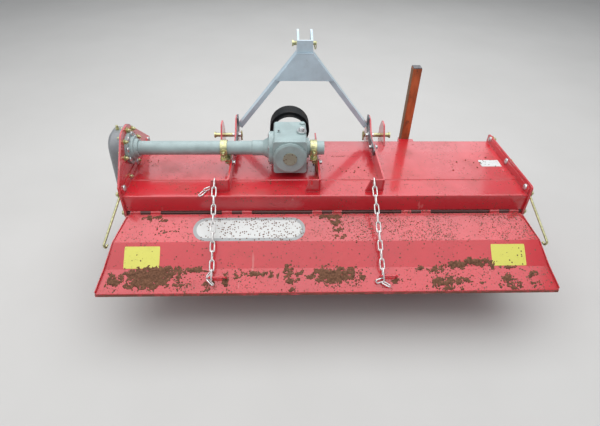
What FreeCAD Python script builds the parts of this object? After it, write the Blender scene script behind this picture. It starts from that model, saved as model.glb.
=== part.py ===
import FreeCAD, Part
import math
import os

import Sketcher

# Rotary tiller, 1.8 m wide, for a three-point hitch.
# +X is right and +Y is forward, both seen from behind the machine, and +Z is up.
# Every piece is drawn from the hinge line of the tail board: y = 0 at the deck's rear
# lip and z = 0 at the lip's lower edge. placed() then moves it so that the origin is on
# the floor, in the middle of the machine's length and width.

doc = FreeCAD.newDocument("rotary_tiller")
sheet = doc.addObject("Spreadsheet::Sheet", "Sizes")

# Driving dimensions in millimetres and degrees, by part of the machine.
DRIVING = {
    # the deck, a folded sheet with end flanges turned up
    "deck_half_width": 900.0,
    "deck_depth": 493.0,
    "deck_height": 80.0,
    "deck_sheet": 4.0,
    "deck_front_lip": 62.0,
    "deck_front_drop": 4.0,
    "deck_crease_y": 374.0,
    "deck_rib_y": 120.0,
    "deck_rib_width": 32.0,
    "deck_rib_height": 4.0,
    "deck_end_flange": 30.0,
    "fold_radius": 7.0,
    # the front beam under the deck
    "beam_depth": 60.0,
    "beam_height": 56.0,
    "beam_wall": 5.0,
    # side plates and skids
    "side_plate": 8.0,
    "side_plate_bottom": 392.0,
    "hinge_height": 436.0,
    "skid_width": 60.0,
    "skid_sheet": 8.0,
    "skid_web": 6.0,
    "skid_web_drop": 341.0,
    "skid_shoulder_drop": 360.0,
    "skid_heel": 22.0,
    "skid_nose": 118.0,
    # the drive line: input gearbox, cross tube and side gear case
    "drive_y": 220.0,
    "drive_rise": 115.0,
    "gearbox_x": -167.0,
    "gearbox_width": 150.0,
    "gearbox_height": 160.0,
    "gearbox_rear_y": 132.0,
    "gearbox_front_y": 322.0,
    "rear_cover_radius": 75.0,
    "rear_cover_depth": 12.0,
    "rear_cover_rim": 8.0,
    "rear_cover_dish": 30.0,
    "tube_radius": 31.75,
    "tube_wall": 6.0,
    "tube_stub_end": -9.0,
    "tube_flange_radius": 72.0,
    "tube_flange_plate": 14.0,
    "tube_flange_step": 28.0,
    "tube_flange_reach": 44.0,
    "tube_boss_radius": 54.0,
    "tube_collar_radius": 43.0,
    "tube_neck_start": 86.0,
    "tube_neck_radius": 35.0,
    "tube_neck_flare": 54.0,
    "gearbox_flange_radius": 76.0,
    "gearbox_flange": 10.0,
    "gearbox_boss_radius": 46.0,
    "gearbox_boss_length": 12.0,
    "gearbox_corner": 12.0,
    "input_shaft_radius": 17.45,
    "input_shaft_reach": 98.0,
    "shaft_bore_depth": 50.0,
    "shaft_play": 0.08,
    "shaft_collar": 22.0,
    "spline_depth": 2.6,
    "spline_width": 8.4,
    "gearbox_nose": 14.0,
    "gearbox_nose_radius": 56.0,
    "guard_radius": 97.0,
    "guard_neck_radius": 84.0,
    "guard_step": 52.0,
    "guard_depth": 125.0,
    "guard_window": 32.0,
    "guard_window_rise": 44.0,
    "guard_sheet": 3.0,
    "guard_hole": 40.0,
    "case_top_y": 235.0,
    "case_top_radius": 83.0,
    "case_flat": 12.0,
    "case_bottom_radius": 135.0,
    "case_rim": 11.0,
    "case_flange": 10.0,
    "case_depth": 55.0,
    "case_round": 20.0,
    "case_boss": 5.0,
    "case_top_boss": 40.0,
    "case_low_boss": 52.0,
    "plug_radius": 8.0,
    "plug_collar": 7.0,
    "plug_neck": 4.0,
    "plug_head": 9.0,
    "plug_key": 6.5,
    # the clamps that hold the cross tube down on the brackets
    "clamp_width": 30.0,
    "clamp_sheet": 5.0,
    "clamp_saddle": 5.0,
    "clamp_leg": 37.0,
    "clamp_ear": 12.0,
    "saddle_post": 28.0,
    "saddle_foot": 12.0,
    # the hitch, from its own centre line
    "hitch_x": -95.0,
    "inner_cheek": 344.0,
    "outer_cheek": 424.0,
    "cheek_plate": 8.0,
    "bracket_height": 64.0,
    "bracket_rear_y": 30.0,
    "left_bracket_leg": 92.0,
    "right_bracket_leg": 85.0,
    "bracket_bend": 14.0,
    "middle_bracket_x": -35.0,
    "middle_bracket_leg": 70.0,
    "middle_slot": 41.0,
    "bracket_reach": 53.0,
    "middle_bracket_reach": 38.0,
    "cheek_root": 93.0,
    "cheek_drop": 66.0,
    "lower_pin_forward": 52.0,
    "lower_pin_rise": 3.0,
    "lower_pin_radius": 11.0,
    "pin_seat": 0.2,
    "pin_play": 0.1,
    "pin_head_radius": 16.0,
    "pin_head": 8.0,
    "lower_pin_outer_end": 472.0,
    "lower_pin_inner_end": 322.0,
    # the head frame, made of flat tubes
    "leg_length": 463.0,
    "leg_foot_rise": 78.0,
    "leg_width": 22.0,
    "leg_depth": 50.0,
    "leg_wall": 3.0,
    "leg_forward": 1.0,
    "foot_strap": 6.0,
    "gusset_drop": 115.0,
    "gusset_lift": 16.0,
    "gusset_inset": 1.5,
    "gusset_plate": 6.0,
    "top_ear_half": 37.0,
    "top_ear_plate": 10.0,
    "top_pin_forward": 95.0,
    "top_pin_lift": 32.0,
    "top_pin_radius": 9.5,
    "fork_forward": 125.0,
    "fork_drop": 81.0,
    "fork_plate_lift": 41.0,
    "fork_ear_lift": 60.0,
    "fork_ear_drop": 33.0,
    "fork_ear_run": 46.0,
    "top_pin_overhang": 22.0,
    "top_pin_head": 7.0,
    # the tail board, in three facets, and its hinge
    "hinge_rod_radius": 6.0,
    "knuckle_radius": 10.0,
    "knuckle_drop": 1.5,
    "hinge_inset": 84.0,
    "hinge_knuckle": 44.0,
    "hinge_gap": 1.0,
    "board_sheet": 3.0,
    "board_inset": 12.0,
    "board_flare": 80.0,
    "board_roll": 14.0,
    "board_lip_set": 2.0,
    "board_rim": 13.0,
    "staple_radius": 4.5,
    "staple_width": 72.0,
    "staple_rise": 24.0,
    "staple_root": 4.0,
    "staple_bend": 10.0,
    "leaf_plate": 6.0,
    "leaf_rise": 34.0,
    "leaf_drop": 5.0,
    # the rotor
    "rotor_y": 225.0,
    "rotor_drop": 185.0,
    "rotor_tube_radius": 44.5,
    "rotor_flange_radius": 88.0,
    "rotor_flange": 8.0,
    "journal_inset": 2.0,
    "end_flange_inset": 88.0,
    "tine_radius": 230.0,
    "tine_plate": 8.0,
    "tine_gap": 20.0,
    "tine_bend": 26.0,
    "tine_shank": 44.0,
    "tine_wing": 74.0,
    "tine_sweep": 52.0,
    "tine_root": 52.0,
    "tine_tilt": 18.0,
    "tine_heel": 126.0,
    "tine_back": 140.0,
    "tine_curve": 90.0,
    "hub_radius": 62.0,
    "hub_depth": 26.0,
    "hub_bore": 30.0,
    "hub_play": 0.05,
    "hub_foot": 10.0,
    "hub_nose_radius": 46.0,
    "cap_radius": 66.0,
    "cap_flange": 12.0,
    "cap_dome": 38.0,
    # the parking stand
    "stand_x": 460.0,
    "stand_forward": 63.0,
    "stand_tube": 45.0,
    "stand_wall": 4.0,
    "stand_top": 450.0,
    "stand_bottom": -96.0,
    "stand_clearance": 0.5,
    "sleeve_drop": 32.0,
    "sleeve_height": 84.0,
    "stand_foot": 90.0,
    "stand_foot_plate": 8.0,
    "stand_cap": 6.0,
    "sleeve_plate": 80.0,
    "sleeve_plate_inset": 8.0,
    "sleeve_corner": 7.0,
    # the chains that hold the board
    "chain_wire": 7.0,
    "chain_width": 24.0,
    "chain_slack": 0.35,
    "chain_slot": 9.0,
    "chain_slot_depth": 31.0,
    "side_rod_radius": 5.0,
    "side_rod_bend": 10.0,
    "side_rod_eye": 11.0,
    "side_rod_eye_width": 12.0,
    "seat_gap": 0.3,
}


class Size:
    """A length or an angle: its number, and the same sum written for the sheet."""

    def __init__(self, number, text):
        self.number = float(number)
        self.text = text

    def __add__(self, other):
        other = size(other)
        return Size(self.number + other.number, "(%s + %s)" % (self.text, other.text))

    def __sub__(self, other):
        other = size(other)
        return Size(self.number - other.number, "(%s - %s)" % (self.text, other.text))

    def __mul__(self, other):
        other = size(other)
        return Size(self.number * other.number, "%s * %s" % (self.text, other.text))

    def __truediv__(self, other):
        other = size(other)
        return Size(self.number / other.number, "(%s / %s)" % (self.text, other.text))

    def __neg__(self):
        return Size(-self.number, "(0 - %s)" % self.text)

    def __radd__(self, other):
        return size(other) + self

    def __rsub__(self, other):
        return size(other) - self

    def __rmul__(self, other):
        return size(other) * self


def size(value):
    """A Size as it is, or a plain number as a Size."""
    return value if isinstance(value, Size) else Size(value, "(%r)" % float(value))


def angle_of(rise, run):
    """The angle in degrees of a slope, as a Size."""
    return Size(
        math.degrees(math.atan2(rise.number, run.number)),
        "(atan2(%s; %s) / 1 deg)" % (rise.text, run.text),
    )


def cosine(angle):
    """The cosine of an angle in degrees, as a Size."""
    return Size(math.cos(math.radians(angle.number)), "cos(%s * 1 deg)" % angle.text)


def sine(angle):
    """The sine of an angle in degrees, as a Size."""
    return Size(math.sin(math.radians(angle.number)), "sin(%s * 1 deg)" % angle.text)


def leaning(across, length):
    """The angle from upright of a bar that reaches across by so much, as a Size."""
    return Size(
        math.degrees(math.asin(across.number / length.number)),
        "(asin(%s / %s) / 1 deg)" % (across.text, length.text),
    )


class Driving:
    """The sheet's cells by name, such as D.deck_depth."""


D = Driving()
for row, (name, value) in enumerate(DRIVING.items(), start=1):
    sheet.set("A%d" % row, name)
    sheet.set("B%d" % row, str(value))
    sheet.setAlias("B%d" % row, name)
    setattr(D, name, Size(value, "Sizes." + name))
doc.recompute()

PIECES = []
XY, XZ, YZ = "XY_Plane", "XZ_Plane", "YZ_Plane"


def vector(u, v):
    return FreeCAD.Vector(u, v, 0)


def origin_plane(body, role):
    """One of a body's own origin planes."""
    for feature in body.Origin.OriginFeatures:
        if feature.Role == role:
            return feature
    raise ValueError(role)


def new_body(name):
    return doc.addObject("PartDesign::Body", name)


def new_sketch(body, plane, start=0):
    """A sketch on one of the body's planes, moved along the plane's normal."""
    sketch = body.newObject("Sketcher::SketchObject", body.Name + "_sketch")
    sketch.AttachmentSupport = [(origin_plane(body, plane), "")]
    sketch.MapMode = "FlatFace"
    sketch.setExpression("AttachmentOffset.Base.z", size(start).text)
    return sketch


def bind(sketch, kind, *where, value):
    """A dimension of the sketch, tied to the sheet."""
    index = sketch.addConstraint(Sketcher.Constraint(kind, *where, value.number))
    sketch.setExpression("Constraints[%d]" % index, value.text)


def outline(sketch, corners):
    """A closed outline with its corners tied to the sheet.

    Each corner is (u, v) or (u, v, radius), with the radius of the arc that rounds it.
    """
    corners = [tuple(size(value) for value in corner) for corner in corners]
    count = len(corners)
    starts, ends, arcs = [], [], {}
    for index, corner in enumerate(corners):
        before = corners[index - 1]
        after = corners[(index + 1) % count]
        spot = vector(corner[0].number, corner[1].number)
        if len(corner) == 2:
            starts.append(spot)
            ends.append(spot)
            continue
        to_before = (vector(before[0].number, before[1].number) - spot).normalize()
        to_after = (vector(after[0].number, after[1].number) - spot).normalize()
        half = to_before.getAngle(to_after) / 2
        radius = corner[2].number
        tangent = radius / math.tan(half)
        centre = spot + (to_before + to_after).normalize() * (radius / math.sin(half))
        ends.append(spot + to_before * tangent)
        starts.append(spot + to_after * tangent)
        arcs[index] = (centre, radius, ends[-1], starts[-1])
    first = sketch.GeometryCount
    for index in range(count):
        sketch.addGeometry(Part.LineSegment(starts[index], ends[(index + 1) % count]), False)
    for index in range(count):
        before = first + (index - 1) % count
        corner = corners[index]
        if index not in arcs:
            sketch.addConstraint(Sketcher.Constraint("Coincident", before, 2, first + index, 1))
            bind(sketch, "DistanceX", -1, 1, first + index, 1, value=corner[0])
            bind(sketch, "DistanceY", -1, 1, first + index, 1, value=corner[1])
            continue
        centre, radius, begin, end = arcs[index]
        low = math.atan2(begin.y - centre.y, begin.x - centre.x)
        high = math.atan2(end.y - centre.y, end.x - centre.x)
        turn = (high - low) % (2 * math.pi)
        circle = Part.Circle(centre, FreeCAD.Vector(0, 0, 1), radius)
        forward = turn < math.pi
        span = (low, high) if forward else (high, low)
        arc = sketch.addGeometry(Part.ArcOfCircle(circle, *span), False)
        near, far = (1, 2) if forward else (2, 1)
        sketch.addConstraint(Sketcher.Constraint("Tangent", before, 2, arc, near))
        sketch.addConstraint(Sketcher.Constraint("Tangent", first + index, 1, arc, far))
        bind(sketch, "Radius", arc, value=corner[2])
        point = sketch.addGeometry(Part.Point(vector(corner[0].number, corner[1].number)), True)
        sketch.addConstraint(Sketcher.Constraint("PointOnObject", point, 1, before))
        sketch.addConstraint(Sketcher.Constraint("PointOnObject", point, 1, first + index))
        bind(sketch, "DistanceX", -1, 1, point, 1, value=corner[0])
        bind(sketch, "DistanceY", -1, 1, point, 1, value=corner[1])


def circle(sketch, u, v, radius):
    """A full circle with its centre and radius tied to the sheet."""
    u, v, radius = size(u), size(v), size(radius)
    place = vector(u.number, v.number)
    ring = sketch.addGeometry(Part.Circle(place, FreeCAD.Vector(0, 0, 1), radius.number), False)
    bind(sketch, "DistanceX", -1, 1, ring, 3, value=u)
    bind(sketch, "DistanceY", -1, 1, ring, 3, value=v)
    bind(sketch, "Radius", ring, value=radius)


def pad(body, plane, start, thick, corners=(), holes=(), taper=0):
    """A plate padded from start: towards +X on YZ, -Y on XZ and +Z on XY."""
    sketch = new_sketch(body, plane, start)
    if corners:
        outline(sketch, corners)
    for hole in holes:
        circle(sketch, *hole)
    feature = body.newObject("PartDesign::Pad", body.Name + "_pad")
    feature.Profile = sketch
    feature.setExpression("Length", size(thick).text)
    if taper:
        feature.TaperAngle = taper
    sketch.Visibility = False
    return feature


def pocket(body, plane, start, thick, corners=(), holes=()):
    """A cut from start, along the same directions as pad()."""
    sketch = new_sketch(body, plane, start)
    if corners:
        outline(sketch, corners)
    for hole in holes:
        circle(sketch, *hole)
    doc.recompute()
    before = body.Shape.Volume
    feature = body.newObject("PartDesign::Pocket", body.Name + "_pocket")
    feature.Profile = sketch
    feature.Reversed = True
    feature.setExpression("Length", size(thick).text)
    doc.recompute()
    if body.Shape.Volume >= before - 1:
        raise ValueError("the cut in %s takes nothing away" % body.Name)
    return feature


def turn(body, plane, corners, degrees=360):
    """A solid turned about the sketch's own first axis."""
    sketch = new_sketch(body, plane)
    outline(sketch, corners)
    feature = body.newObject("PartDesign::Revolution", body.Name + "_turned")
    feature.Profile = sketch
    feature.ReferenceAxis = (sketch, ["H_Axis"])
    feature.Angle = degrees
    return feature


def turned(name, plane, corners):
    """A turned piece in a body of its own."""
    body = new_body(name)
    turn(body, plane, corners)
    return body


def at(thing, x=0, y=0, z=0):
    """Binds a piece's place to the sheet, in the frame of the hinge line."""
    for letter, value in zip("xyz", (x, y, z)):
        thing.setExpression("Placement.Base." + letter, size(value).text)
    return thing


def placed(thing, x=0, y=0, z=0):
    """As at(), and moved into the model's frame."""
    return at(thing, x, size(y) - MIDDLE_Y, size(z) + D.hinge_height)


def piece(thing, label):
    """Names a finished sub-part, which gets a file of its own."""
    thing.Label = label
    PIECES.append(thing)
    return thing


def mirrored(source, name, x=0):
    """The same piece on the other side of an upright plane."""
    copy = doc.addObject("Part::Mirroring", name)
    copy.Source = source
    copy.Normal = FreeCAD.Vector(1, 0, 0)
    copy.setExpression("Base.x", size(x).text)
    return copy


def group(name, things):
    """Several like solids that share one node."""
    compound = doc.addObject("Part::Compound", name)
    compound.Links = things
    return compound


def ring(inner, outer, start, end):
    """The half section of a plain ring, from start to end along its axis."""
    return [(start, inner), (end, inner), (end, outer), (start, outer)]


def square(half, radius, high=None):
    """A rounded square, or with high a rounded oblong, about the origin."""
    high = half if high is None else high
    return [(-half, -high, radius), (half, -high, radius), (half, high, radius), (-half, high, radius)]


# The hinges' places along the lip, as shares of the outer ones', and the board's staples.
HINGE_SHARES = [-1.0, -0.5, 0.0, 0.5, 1.0]
STAPLE_PLACES = [-476.0, 248.0]
STAPLE_Y = -277.0

# Each chain: its name, its place along the lip at its slot and at its staple.
CHAINS = [
    ("chain_left", -499.5, -499.0),
    ("chain_right", 204.0, 224.0),
]

# The tail board's side view, from the hinge down: forward distance and height.
BOARD_LINE = [(-13.5, -11.0), (-150.0, -52.5), (-240.0, -125.0), (-330.0, -178.0)]

HINGE_Y = size(2.0)
HINGE_Z = -(D.knuckle_radius + D.knuckle_drop)
REAR_REACH = size(-BOARD_LINE[-1][0]) + D.board_lip_set
MIDDLE_Y = (D.deck_depth + D.fork_forward - REAR_REACH) / 2
OUTSIDE = D.deck_half_width + D.side_plate
BOARD_TOP_HALF = D.deck_half_width - D.board_inset
BOARD_LOW_HALF = D.deck_half_width + D.board_flare
DRIVE_Z = D.deck_height + D.drive_rise
PIN_Y = D.deck_depth + D.lower_pin_forward
PIN_Z = D.deck_height + D.lower_pin_rise
LEG_REAR = D.deck_depth + D.leg_forward
END_FLANGE_X = D.deck_half_width - D.end_flange_inset
UNDER_DECK = D.deck_height - D.deck_sheet
FRONT_TOP = D.deck_height - D.deck_front_drop
BEAM_TOP = FRONT_TOP - D.deck_sheet


def deck():
    """The folded sheet over the rotor: rear lip, rib, crease and front lip."""
    body = new_body("deck_body")
    t = D.deck_sheet
    front_low = FRONT_TOP - D.deck_front_lip
    rib = D.deck_rib_y + D.deck_rib_width
    rib_top = D.deck_height + D.deck_rib_height
    r = D.fold_radius
    pad(body, YZ, -D.deck_half_width, 2 * D.deck_half_width, [
        (0, 0),
        (0, D.deck_height, r),
        (D.deck_rib_y, D.deck_height),
        (D.deck_rib_y + D.deck_rib_height, rib_top),
        (rib - D.deck_rib_height, rib_top),
        (rib, D.deck_height),
        (D.deck_crease_y, D.deck_height),
        (D.deck_depth, FRONT_TOP, r),
        (D.deck_depth, front_low),
        (D.deck_depth - t, front_low),
        (D.deck_depth - t, FRONT_TOP - t, r - t),
        (D.deck_crease_y, UNDER_DECK),
        (t, UNDER_DECK, r - t),
        (t, 0),
    ])
    for start in (-D.deck_half_width, D.deck_half_width - t):
        pad(body, YZ, start, t, [
            (r, UNDER_DECK + 1),
            (r, D.deck_height + D.deck_end_flange, 8),
            (D.deck_depth - 1, D.deck_height + D.deck_end_flange, 8),
            (D.deck_depth - 1, FRONT_TOP - t + 0.5),
            (D.deck_crease_y, UNDER_DECK + 1),
        ])
    return piece(placed(body), "deck")


def front_beam():
    """A channel across the machine under the deck's front edge."""
    body = new_body("front_beam_body")
    t = D.beam_wall
    front = D.deck_depth - D.deck_sheet
    rear = front - D.beam_depth
    low = BEAM_TOP - D.beam_height
    reach = D.deck_half_width
    pad(body, YZ, -reach, 2 * reach, [
        (front, BEAM_TOP - 3),
        (front, low, 8),
        (rear, low, 8),
        (rear, BEAM_TOP - 3),
        (rear + t, BEAM_TOP - 3),
        (rear + t, low + t, 3),
        (front - t, low + t, 3),
        (front - t, BEAM_TOP - 3),
    ])
    return piece(placed(body), "front_beam")


# The side plates' outlines: forward distance, height, radius. The tops are counted from the
# deck, and the low edge is at the plates' bottom where no height is given.
SIDE_LOW = [
    (D.deck_depth + 19, -40.0, 30.0),
    (D.deck_depth - 23, -300.0, 60.0),
    (D.deck_depth - 93, None, 40.0),
    (50.0, None, 40.0),
    (8.0, -300.0, 60.0),
    (8.0, -60.0, 30.0),
    (-13.0, -28.0, 12.0),
]
SIDE_TOP_RIGHT = [(-6.0, 47.0, 14.0), (D.deck_depth + 15, 31.0, 12.0)]
SIDE_TOP_LEFT = [
    (-8.0, 47.0, 14.0),
    (D.case_top_y - 69, 218.0, 45.0),
    (D.case_top_y + 24, 218.0, 45.0),
    (D.deck_depth - 1, 28.0, 20.0),
]


def side_plates():
    """The end walls, the left one rising to carry the gear case."""
    low = -D.side_plate_bottom
    for name, top, start in (
        ("side_plate_left", SIDE_TOP_LEFT, -OUTSIDE),
        ("side_plate_right", SIDE_TOP_RIGHT, D.deck_half_width),
    ):
        body = new_body(name + "_body")
        corners = [(y, D.deck_height + rise, radius) for y, rise, radius in top]
        corners += [(y, low if z is None else z, radius) for y, z, radius in SIDE_LOW]
        pad(body, YZ, start, D.side_plate, corners, holes=[
            (HINGE_Y, HINGE_Z, D.hinge_rod_radius + D.pin_play)])
        piece(placed(body), name)


def skids():
    """Runners with upturned noses, bolted outside the side plates."""
    floor = -D.hinge_height
    top = floor + D.skid_sheet
    for name, side in (("skid_left", -1), ("skid_right", 1)):
        body = new_body(name + "_body")
        inner = side * OUTSIDE
        web = inner if side > 0 else inner - D.skid_web
        runner = inner if side > 0 else inner - D.skid_width
        shoulder, crest = -D.skid_shoulder_drop, -D.skid_web_drop
        pad(body, YZ, web, D.skid_web, [
            (24, top - 1), (24, shoulder, 20), (150, crest, 60), (D.deck_depth - 193, crest, 60),
            (D.deck_depth - 53, shoulder, 20), (D.deck_depth - 63, top - 1),
        ])
        heel, nose = floor + D.skid_heel, floor + D.skid_nose
        pad(body, YZ, runner, D.skid_width, [
            (0, heel), (60, floor, 120), (D.deck_depth - 93, floor, 110), (D.deck_depth + 17, nose),
            (D.deck_depth + 11, nose + 6), (D.deck_depth - 96, top, 110 - D.skid_sheet),
            (62, top, 120 - D.skid_sheet), (0, heel + D.skid_sheet),
        ])
        piece(placed(body), name)


def case_outline(grow):
    """The gear case's outline, wider at the rotor than at the cross tube, moved out by grow."""
    top_y, low_y = D.case_top_y, D.rotor_y
    high, low = D.case_top_radius + grow, D.case_bottom_radius + grow
    top_z, low_z = DRIVE_Z + high, -D.rotor_drop - low
    flat = D.case_flat
    return [
        (top_y - high, top_z, high - flat), (top_y + high, top_z, high - flat),
        (low_y + low, low_z, low - flat), (low_y - low, low_z, low - flat),
    ]


def gear_case():
    """The cast cover over the gear train outside the left plate, with its filler plug."""
    body = new_body("gear_case_body")
    face = -OUTSIDE
    rim = face - D.case_flange
    pad(body, YZ, rim, D.case_flange, case_outline(D.case_rim))
    pad(body, YZ, rim - D.case_depth, D.case_depth, case_outline(0))
    doc.recompute()
    outer = (rim - D.case_depth).number
    edges = [
        "Edge%d" % (index + 1) for index, edge in enumerate(body.Shape.Edges)
        if abs(edge.BoundBox.XMin - outer) < 0.01 and abs(edge.BoundBox.XMax - outer) < 0.01
    ]
    cast = body.Tip
    rounding = body.newObject("PartDesign::Fillet", "gear_case_round")
    rounding.Base = (cast, edges)
    rounding.setExpression("Radius", D.case_round.text)
    table = [
        # the boss's middle, forward and up, and its radius
        (D.case_top_y, DRIVE_Z, D.case_top_boss),
        (D.rotor_y, -D.rotor_drop, D.case_low_boss),
    ]
    for y, z, radius in table:
        pad(body, YZ, rim - D.case_depth - D.case_boss, D.case_boss + 1, holes=[(y, z, radius)])
    piece(placed(body), "gear_case_cover")

    plug = new_body("gear_case_plug_body")
    seat = DRIVE_Z + D.case_top_radius + D.seat_gap
    x = rim - D.case_depth / 2 + 4
    pad(plug, XY, 0, D.plug_collar, holes=[(0, 0, D.plug_radius)])
    pad(plug, XY, D.plug_collar, D.plug_neck, holes=[(0, 0, D.plug_radius - 2)])
    pad(plug, XY, D.plug_collar + D.plug_neck, D.plug_head, [
        (D.plug_key * math.cos(math.radians(60 * corner)), D.plug_key * math.sin(math.radians(60 * corner)))
        for corner in range(6)
    ])
    piece(placed(plug, x, D.case_top_y + D.case_flat / 3, seat), "gear_case_plug")


def drive_tube():
    """The cross tube, flared to its flange on the gearbox, and its flange on the gear case."""
    r = D.tube_radius
    flange_face = -D.deck_half_width
    bore = r + D.seat_gap
    body = turned("tube_flange_body", XZ, [
        (flange_face, bore), (flange_face, D.tube_flange_radius),
        (flange_face + D.tube_flange_plate, D.tube_flange_radius),
        (flange_face + D.tube_flange_plate, D.tube_boss_radius),
        (flange_face + D.tube_flange_step, D.tube_boss_radius - 3),
        (flange_face + D.tube_flange_step, D.tube_collar_radius),
        (flange_face + D.tube_flange_reach, D.tube_collar_radius - 3),
        (flange_face + D.tube_flange_reach, bore),
    ])
    piece(placed(body, 0, D.drive_y, DRIVE_Z), "tube_flange")
    joint = D.gearbox_x - D.gearbox_width / 2 - D.gearbox_flange
    wide = D.gearbox_flange_radius
    neck = D.tube_neck_radius
    left = turned("cross_tube_body", XZ, [
        (flange_face, r - D.tube_wall), (joint, r - D.tube_wall), (joint, wide),
        (joint - D.gearbox_flange, wide), (joint - D.gearbox_flange, D.tube_neck_flare),
        (joint - D.gearbox_flange - 6, D.tube_neck_flare - 6), (joint - D.gearbox_flange - 28, neck),
        (joint - D.tube_neck_start, neck), (joint - D.tube_neck_start - 4, r), (flange_face, r),
    ])
    boss_end = D.gearbox_x + D.gearbox_width / 2 + D.gearbox_boss_length
    right = turned("tube_stub_body", XZ, ring(size(0), r, boss_end, D.tube_stub_end))
    piece(placed(left, 0, D.drive_y, DRIVE_Z), "cross_tube")
    piece(placed(right, 0, D.drive_y, DRIVE_Z), "tube_stub")


SPLINES = 6


def gearbox():
    """The cast housing with its rear cover, guard cup and splined input shaft."""
    body = new_body("gearbox_body")
    half = D.gearbox_width / 2
    tall = D.gearbox_height / 2
    depth = D.gearbox_front_y - D.gearbox_rear_y
    pad(body, XZ, -D.gearbox_front_y, depth, square(half, D.gearbox_corner, tall))
    pad(body, YZ, -half - D.gearbox_flange, D.gearbox_flange + 1, holes=[
        (D.drive_y, 0, D.gearbox_flange_radius)])
    boss = D.gearbox_boss_length
    pad(body, YZ, half - 1, boss + 1, holes=[(D.drive_y, 0, D.gearbox_boss_radius)])
    face = D.gearbox_front_y + D.gearbox_nose
    pad(body, XZ, -face, D.gearbox_nose, holes=[(0, 0, D.gearbox_nose_radius)])
    pocket(body, XZ, -face, D.shaft_bore_depth, holes=[(0, 0, D.input_shaft_radius + D.shaft_play)])
    piece(placed(body, D.gearbox_x, 0, DRIVE_Z), "gearbox_housing")

    cover = turned("rear_cover_body", YZ, [
        (0, 0), (0, D.rear_cover_radius), (-D.rear_cover_rim, D.rear_cover_radius),
        (-D.rear_cover_depth, D.rear_cover_radius - 9), (-D.rear_cover_depth, D.rear_cover_dish),
        (-D.rear_cover_rim - 1, D.rear_cover_dish - 4), (-D.rear_cover_rim - 1, 0),
    ])
    piece(placed(cover, D.gearbox_x, D.gearbox_rear_y, DRIVE_Z), "gearbox_rear_cover")

    shaft = new_body("input_shaft_body")
    reach = face + D.input_shaft_reach
    start = face - D.shaft_bore_depth + 1
    collar = face + D.shaft_collar
    root = D.input_shaft_radius - D.spline_depth
    turn(shaft, YZ, [
        (start, 0), (start, D.input_shaft_radius), (collar, D.input_shaft_radius), (collar, root),
        (reach, root), (reach, 0),
    ])
    inner = root / 2
    r = D.input_shaft_radius - 0.5
    half_tooth = D.spline_width / 2
    for index in range(SPLINES):
        turn_angle = math.tau / SPLINES * index
        across = (math.cos(turn_angle), math.sin(turn_angle))
        pad(shaft, XZ, -reach + 2, reach - 2 - collar, [
            (inner * across[0] - half_tooth * across[1], inner * across[1] + half_tooth * across[0]),
            (inner * across[0] + half_tooth * across[1], inner * across[1] - half_tooth * across[0]),
            (r * across[0] + half_tooth * across[1], r * across[1] - half_tooth * across[0]),
            (r * across[0] - half_tooth * across[1], r * across[1] + half_tooth * across[0]),
        ])
    piece(placed(shaft, D.gearbox_x, 0, DRIVE_Z), "input_shaft")

    guard = new_body("shaft_guard_body")
    t = D.guard_sheet
    step = face + D.guard_step
    mouth = face + D.guard_depth
    turn(guard, YZ, [
        (face, D.guard_hole), (face + t, D.guard_hole), (face + t, D.guard_neck_radius - t),
        (step + t, D.guard_neck_radius - t), (step + t, D.guard_radius - t),
        (mouth, D.guard_radius - t), (mouth, D.guard_radius), (step, D.guard_radius),
        (step, D.guard_neck_radius), (face, D.guard_neck_radius),
    ])
    pocket(guard, XY, D.guard_window_rise, D.guard_radius, [
        (-D.guard_radius, face - 1), (D.guard_radius, face - 1), (D.guard_radius, face + D.guard_window),
        (-D.guard_radius, face + D.guard_window),
    ])
    piece(placed(guard, D.gearbox_x, 0, DRIVE_Z), "shaft_guard")


# The cross tube's clamps: name, middle, and the face of the bracket that carries it.
CLAMPS = [
    ("left", -470.0, D.hitch_x - D.inner_cheek - D.cheek_plate / 2),
    ("right", -58.0, D.middle_bracket_x - D.cheek_plate / 2),
]


def tube_clamps():
    """Bent straps over the cross tube, each on a saddle bolted to a bracket's left face."""
    gap = D.seat_gap
    t = D.clamp_sheet
    parts = []
    inner = D.tube_radius + gap
    outer = inner + t
    ear = outer + D.clamp_ear
    post = D.saddle_post / 2
    for name, x, face in CLAMPS:
        strap = new_body("clamp_strap_%s_body" % name)
        low = -D.clamp_leg
        pad(strap, YZ, x - D.clamp_width / 2, D.clamp_width, [
            (-ear, low), (-ear, low + t), (-outer, low + t, 2), (-outer, outer, outer - 1),
            (outer, outer, outer - 1), (outer, low + t, 2), (ear, low + t), (ear, low),
            (inner, low), (inner, inner, inner - 1), (-inner, inner, inner - 1), (-inner, low),
        ])
        parts.append(placed(strap, 0, D.drive_y, DRIVE_Z))
        saddle = new_body("clamp_saddle_%s_body" % name)
        left = x - D.clamp_width / 2
        top = low - gap
        foot = D.saddle_foot - D.drive_rise
        pad(saddle, XZ, -ear, 2 * ear, [
            (left, top), (face, top), (face, foot), (face - t, foot), (face - t, top - D.clamp_saddle),
            (left, top - D.clamp_saddle),
        ])
        pad(saddle, YZ, left, D.clamp_width, [
            (-post, top - 1), (post, top - 1), (post, -inner), (-post, -inner),
        ])
        parts.append(placed(saddle, 0, D.drive_y, DRIVE_Z))
    piece(group("tube_clamps_group", parts), "tube_clamps")


# A hitch cheek's front, round the lower pin: distance from the deck's front edge, height
# above the deck, radius.
EAR_FRONT = [(99.0, 30.0, 30.0), (99.0, -40.0, 26.0), (67.0, -66.0, 24.0)]
INNER_EAR = [(-53.0, 86.0, 30.0), (-3.0, 125.0, 20.0), (52.0, 125.0, 20.0)] + EAR_FRONT
OUTER_EAR = [(12.0, 85.0, 12.0), (63.0, 85.0, 14.0)] + EAR_FRONT


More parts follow.
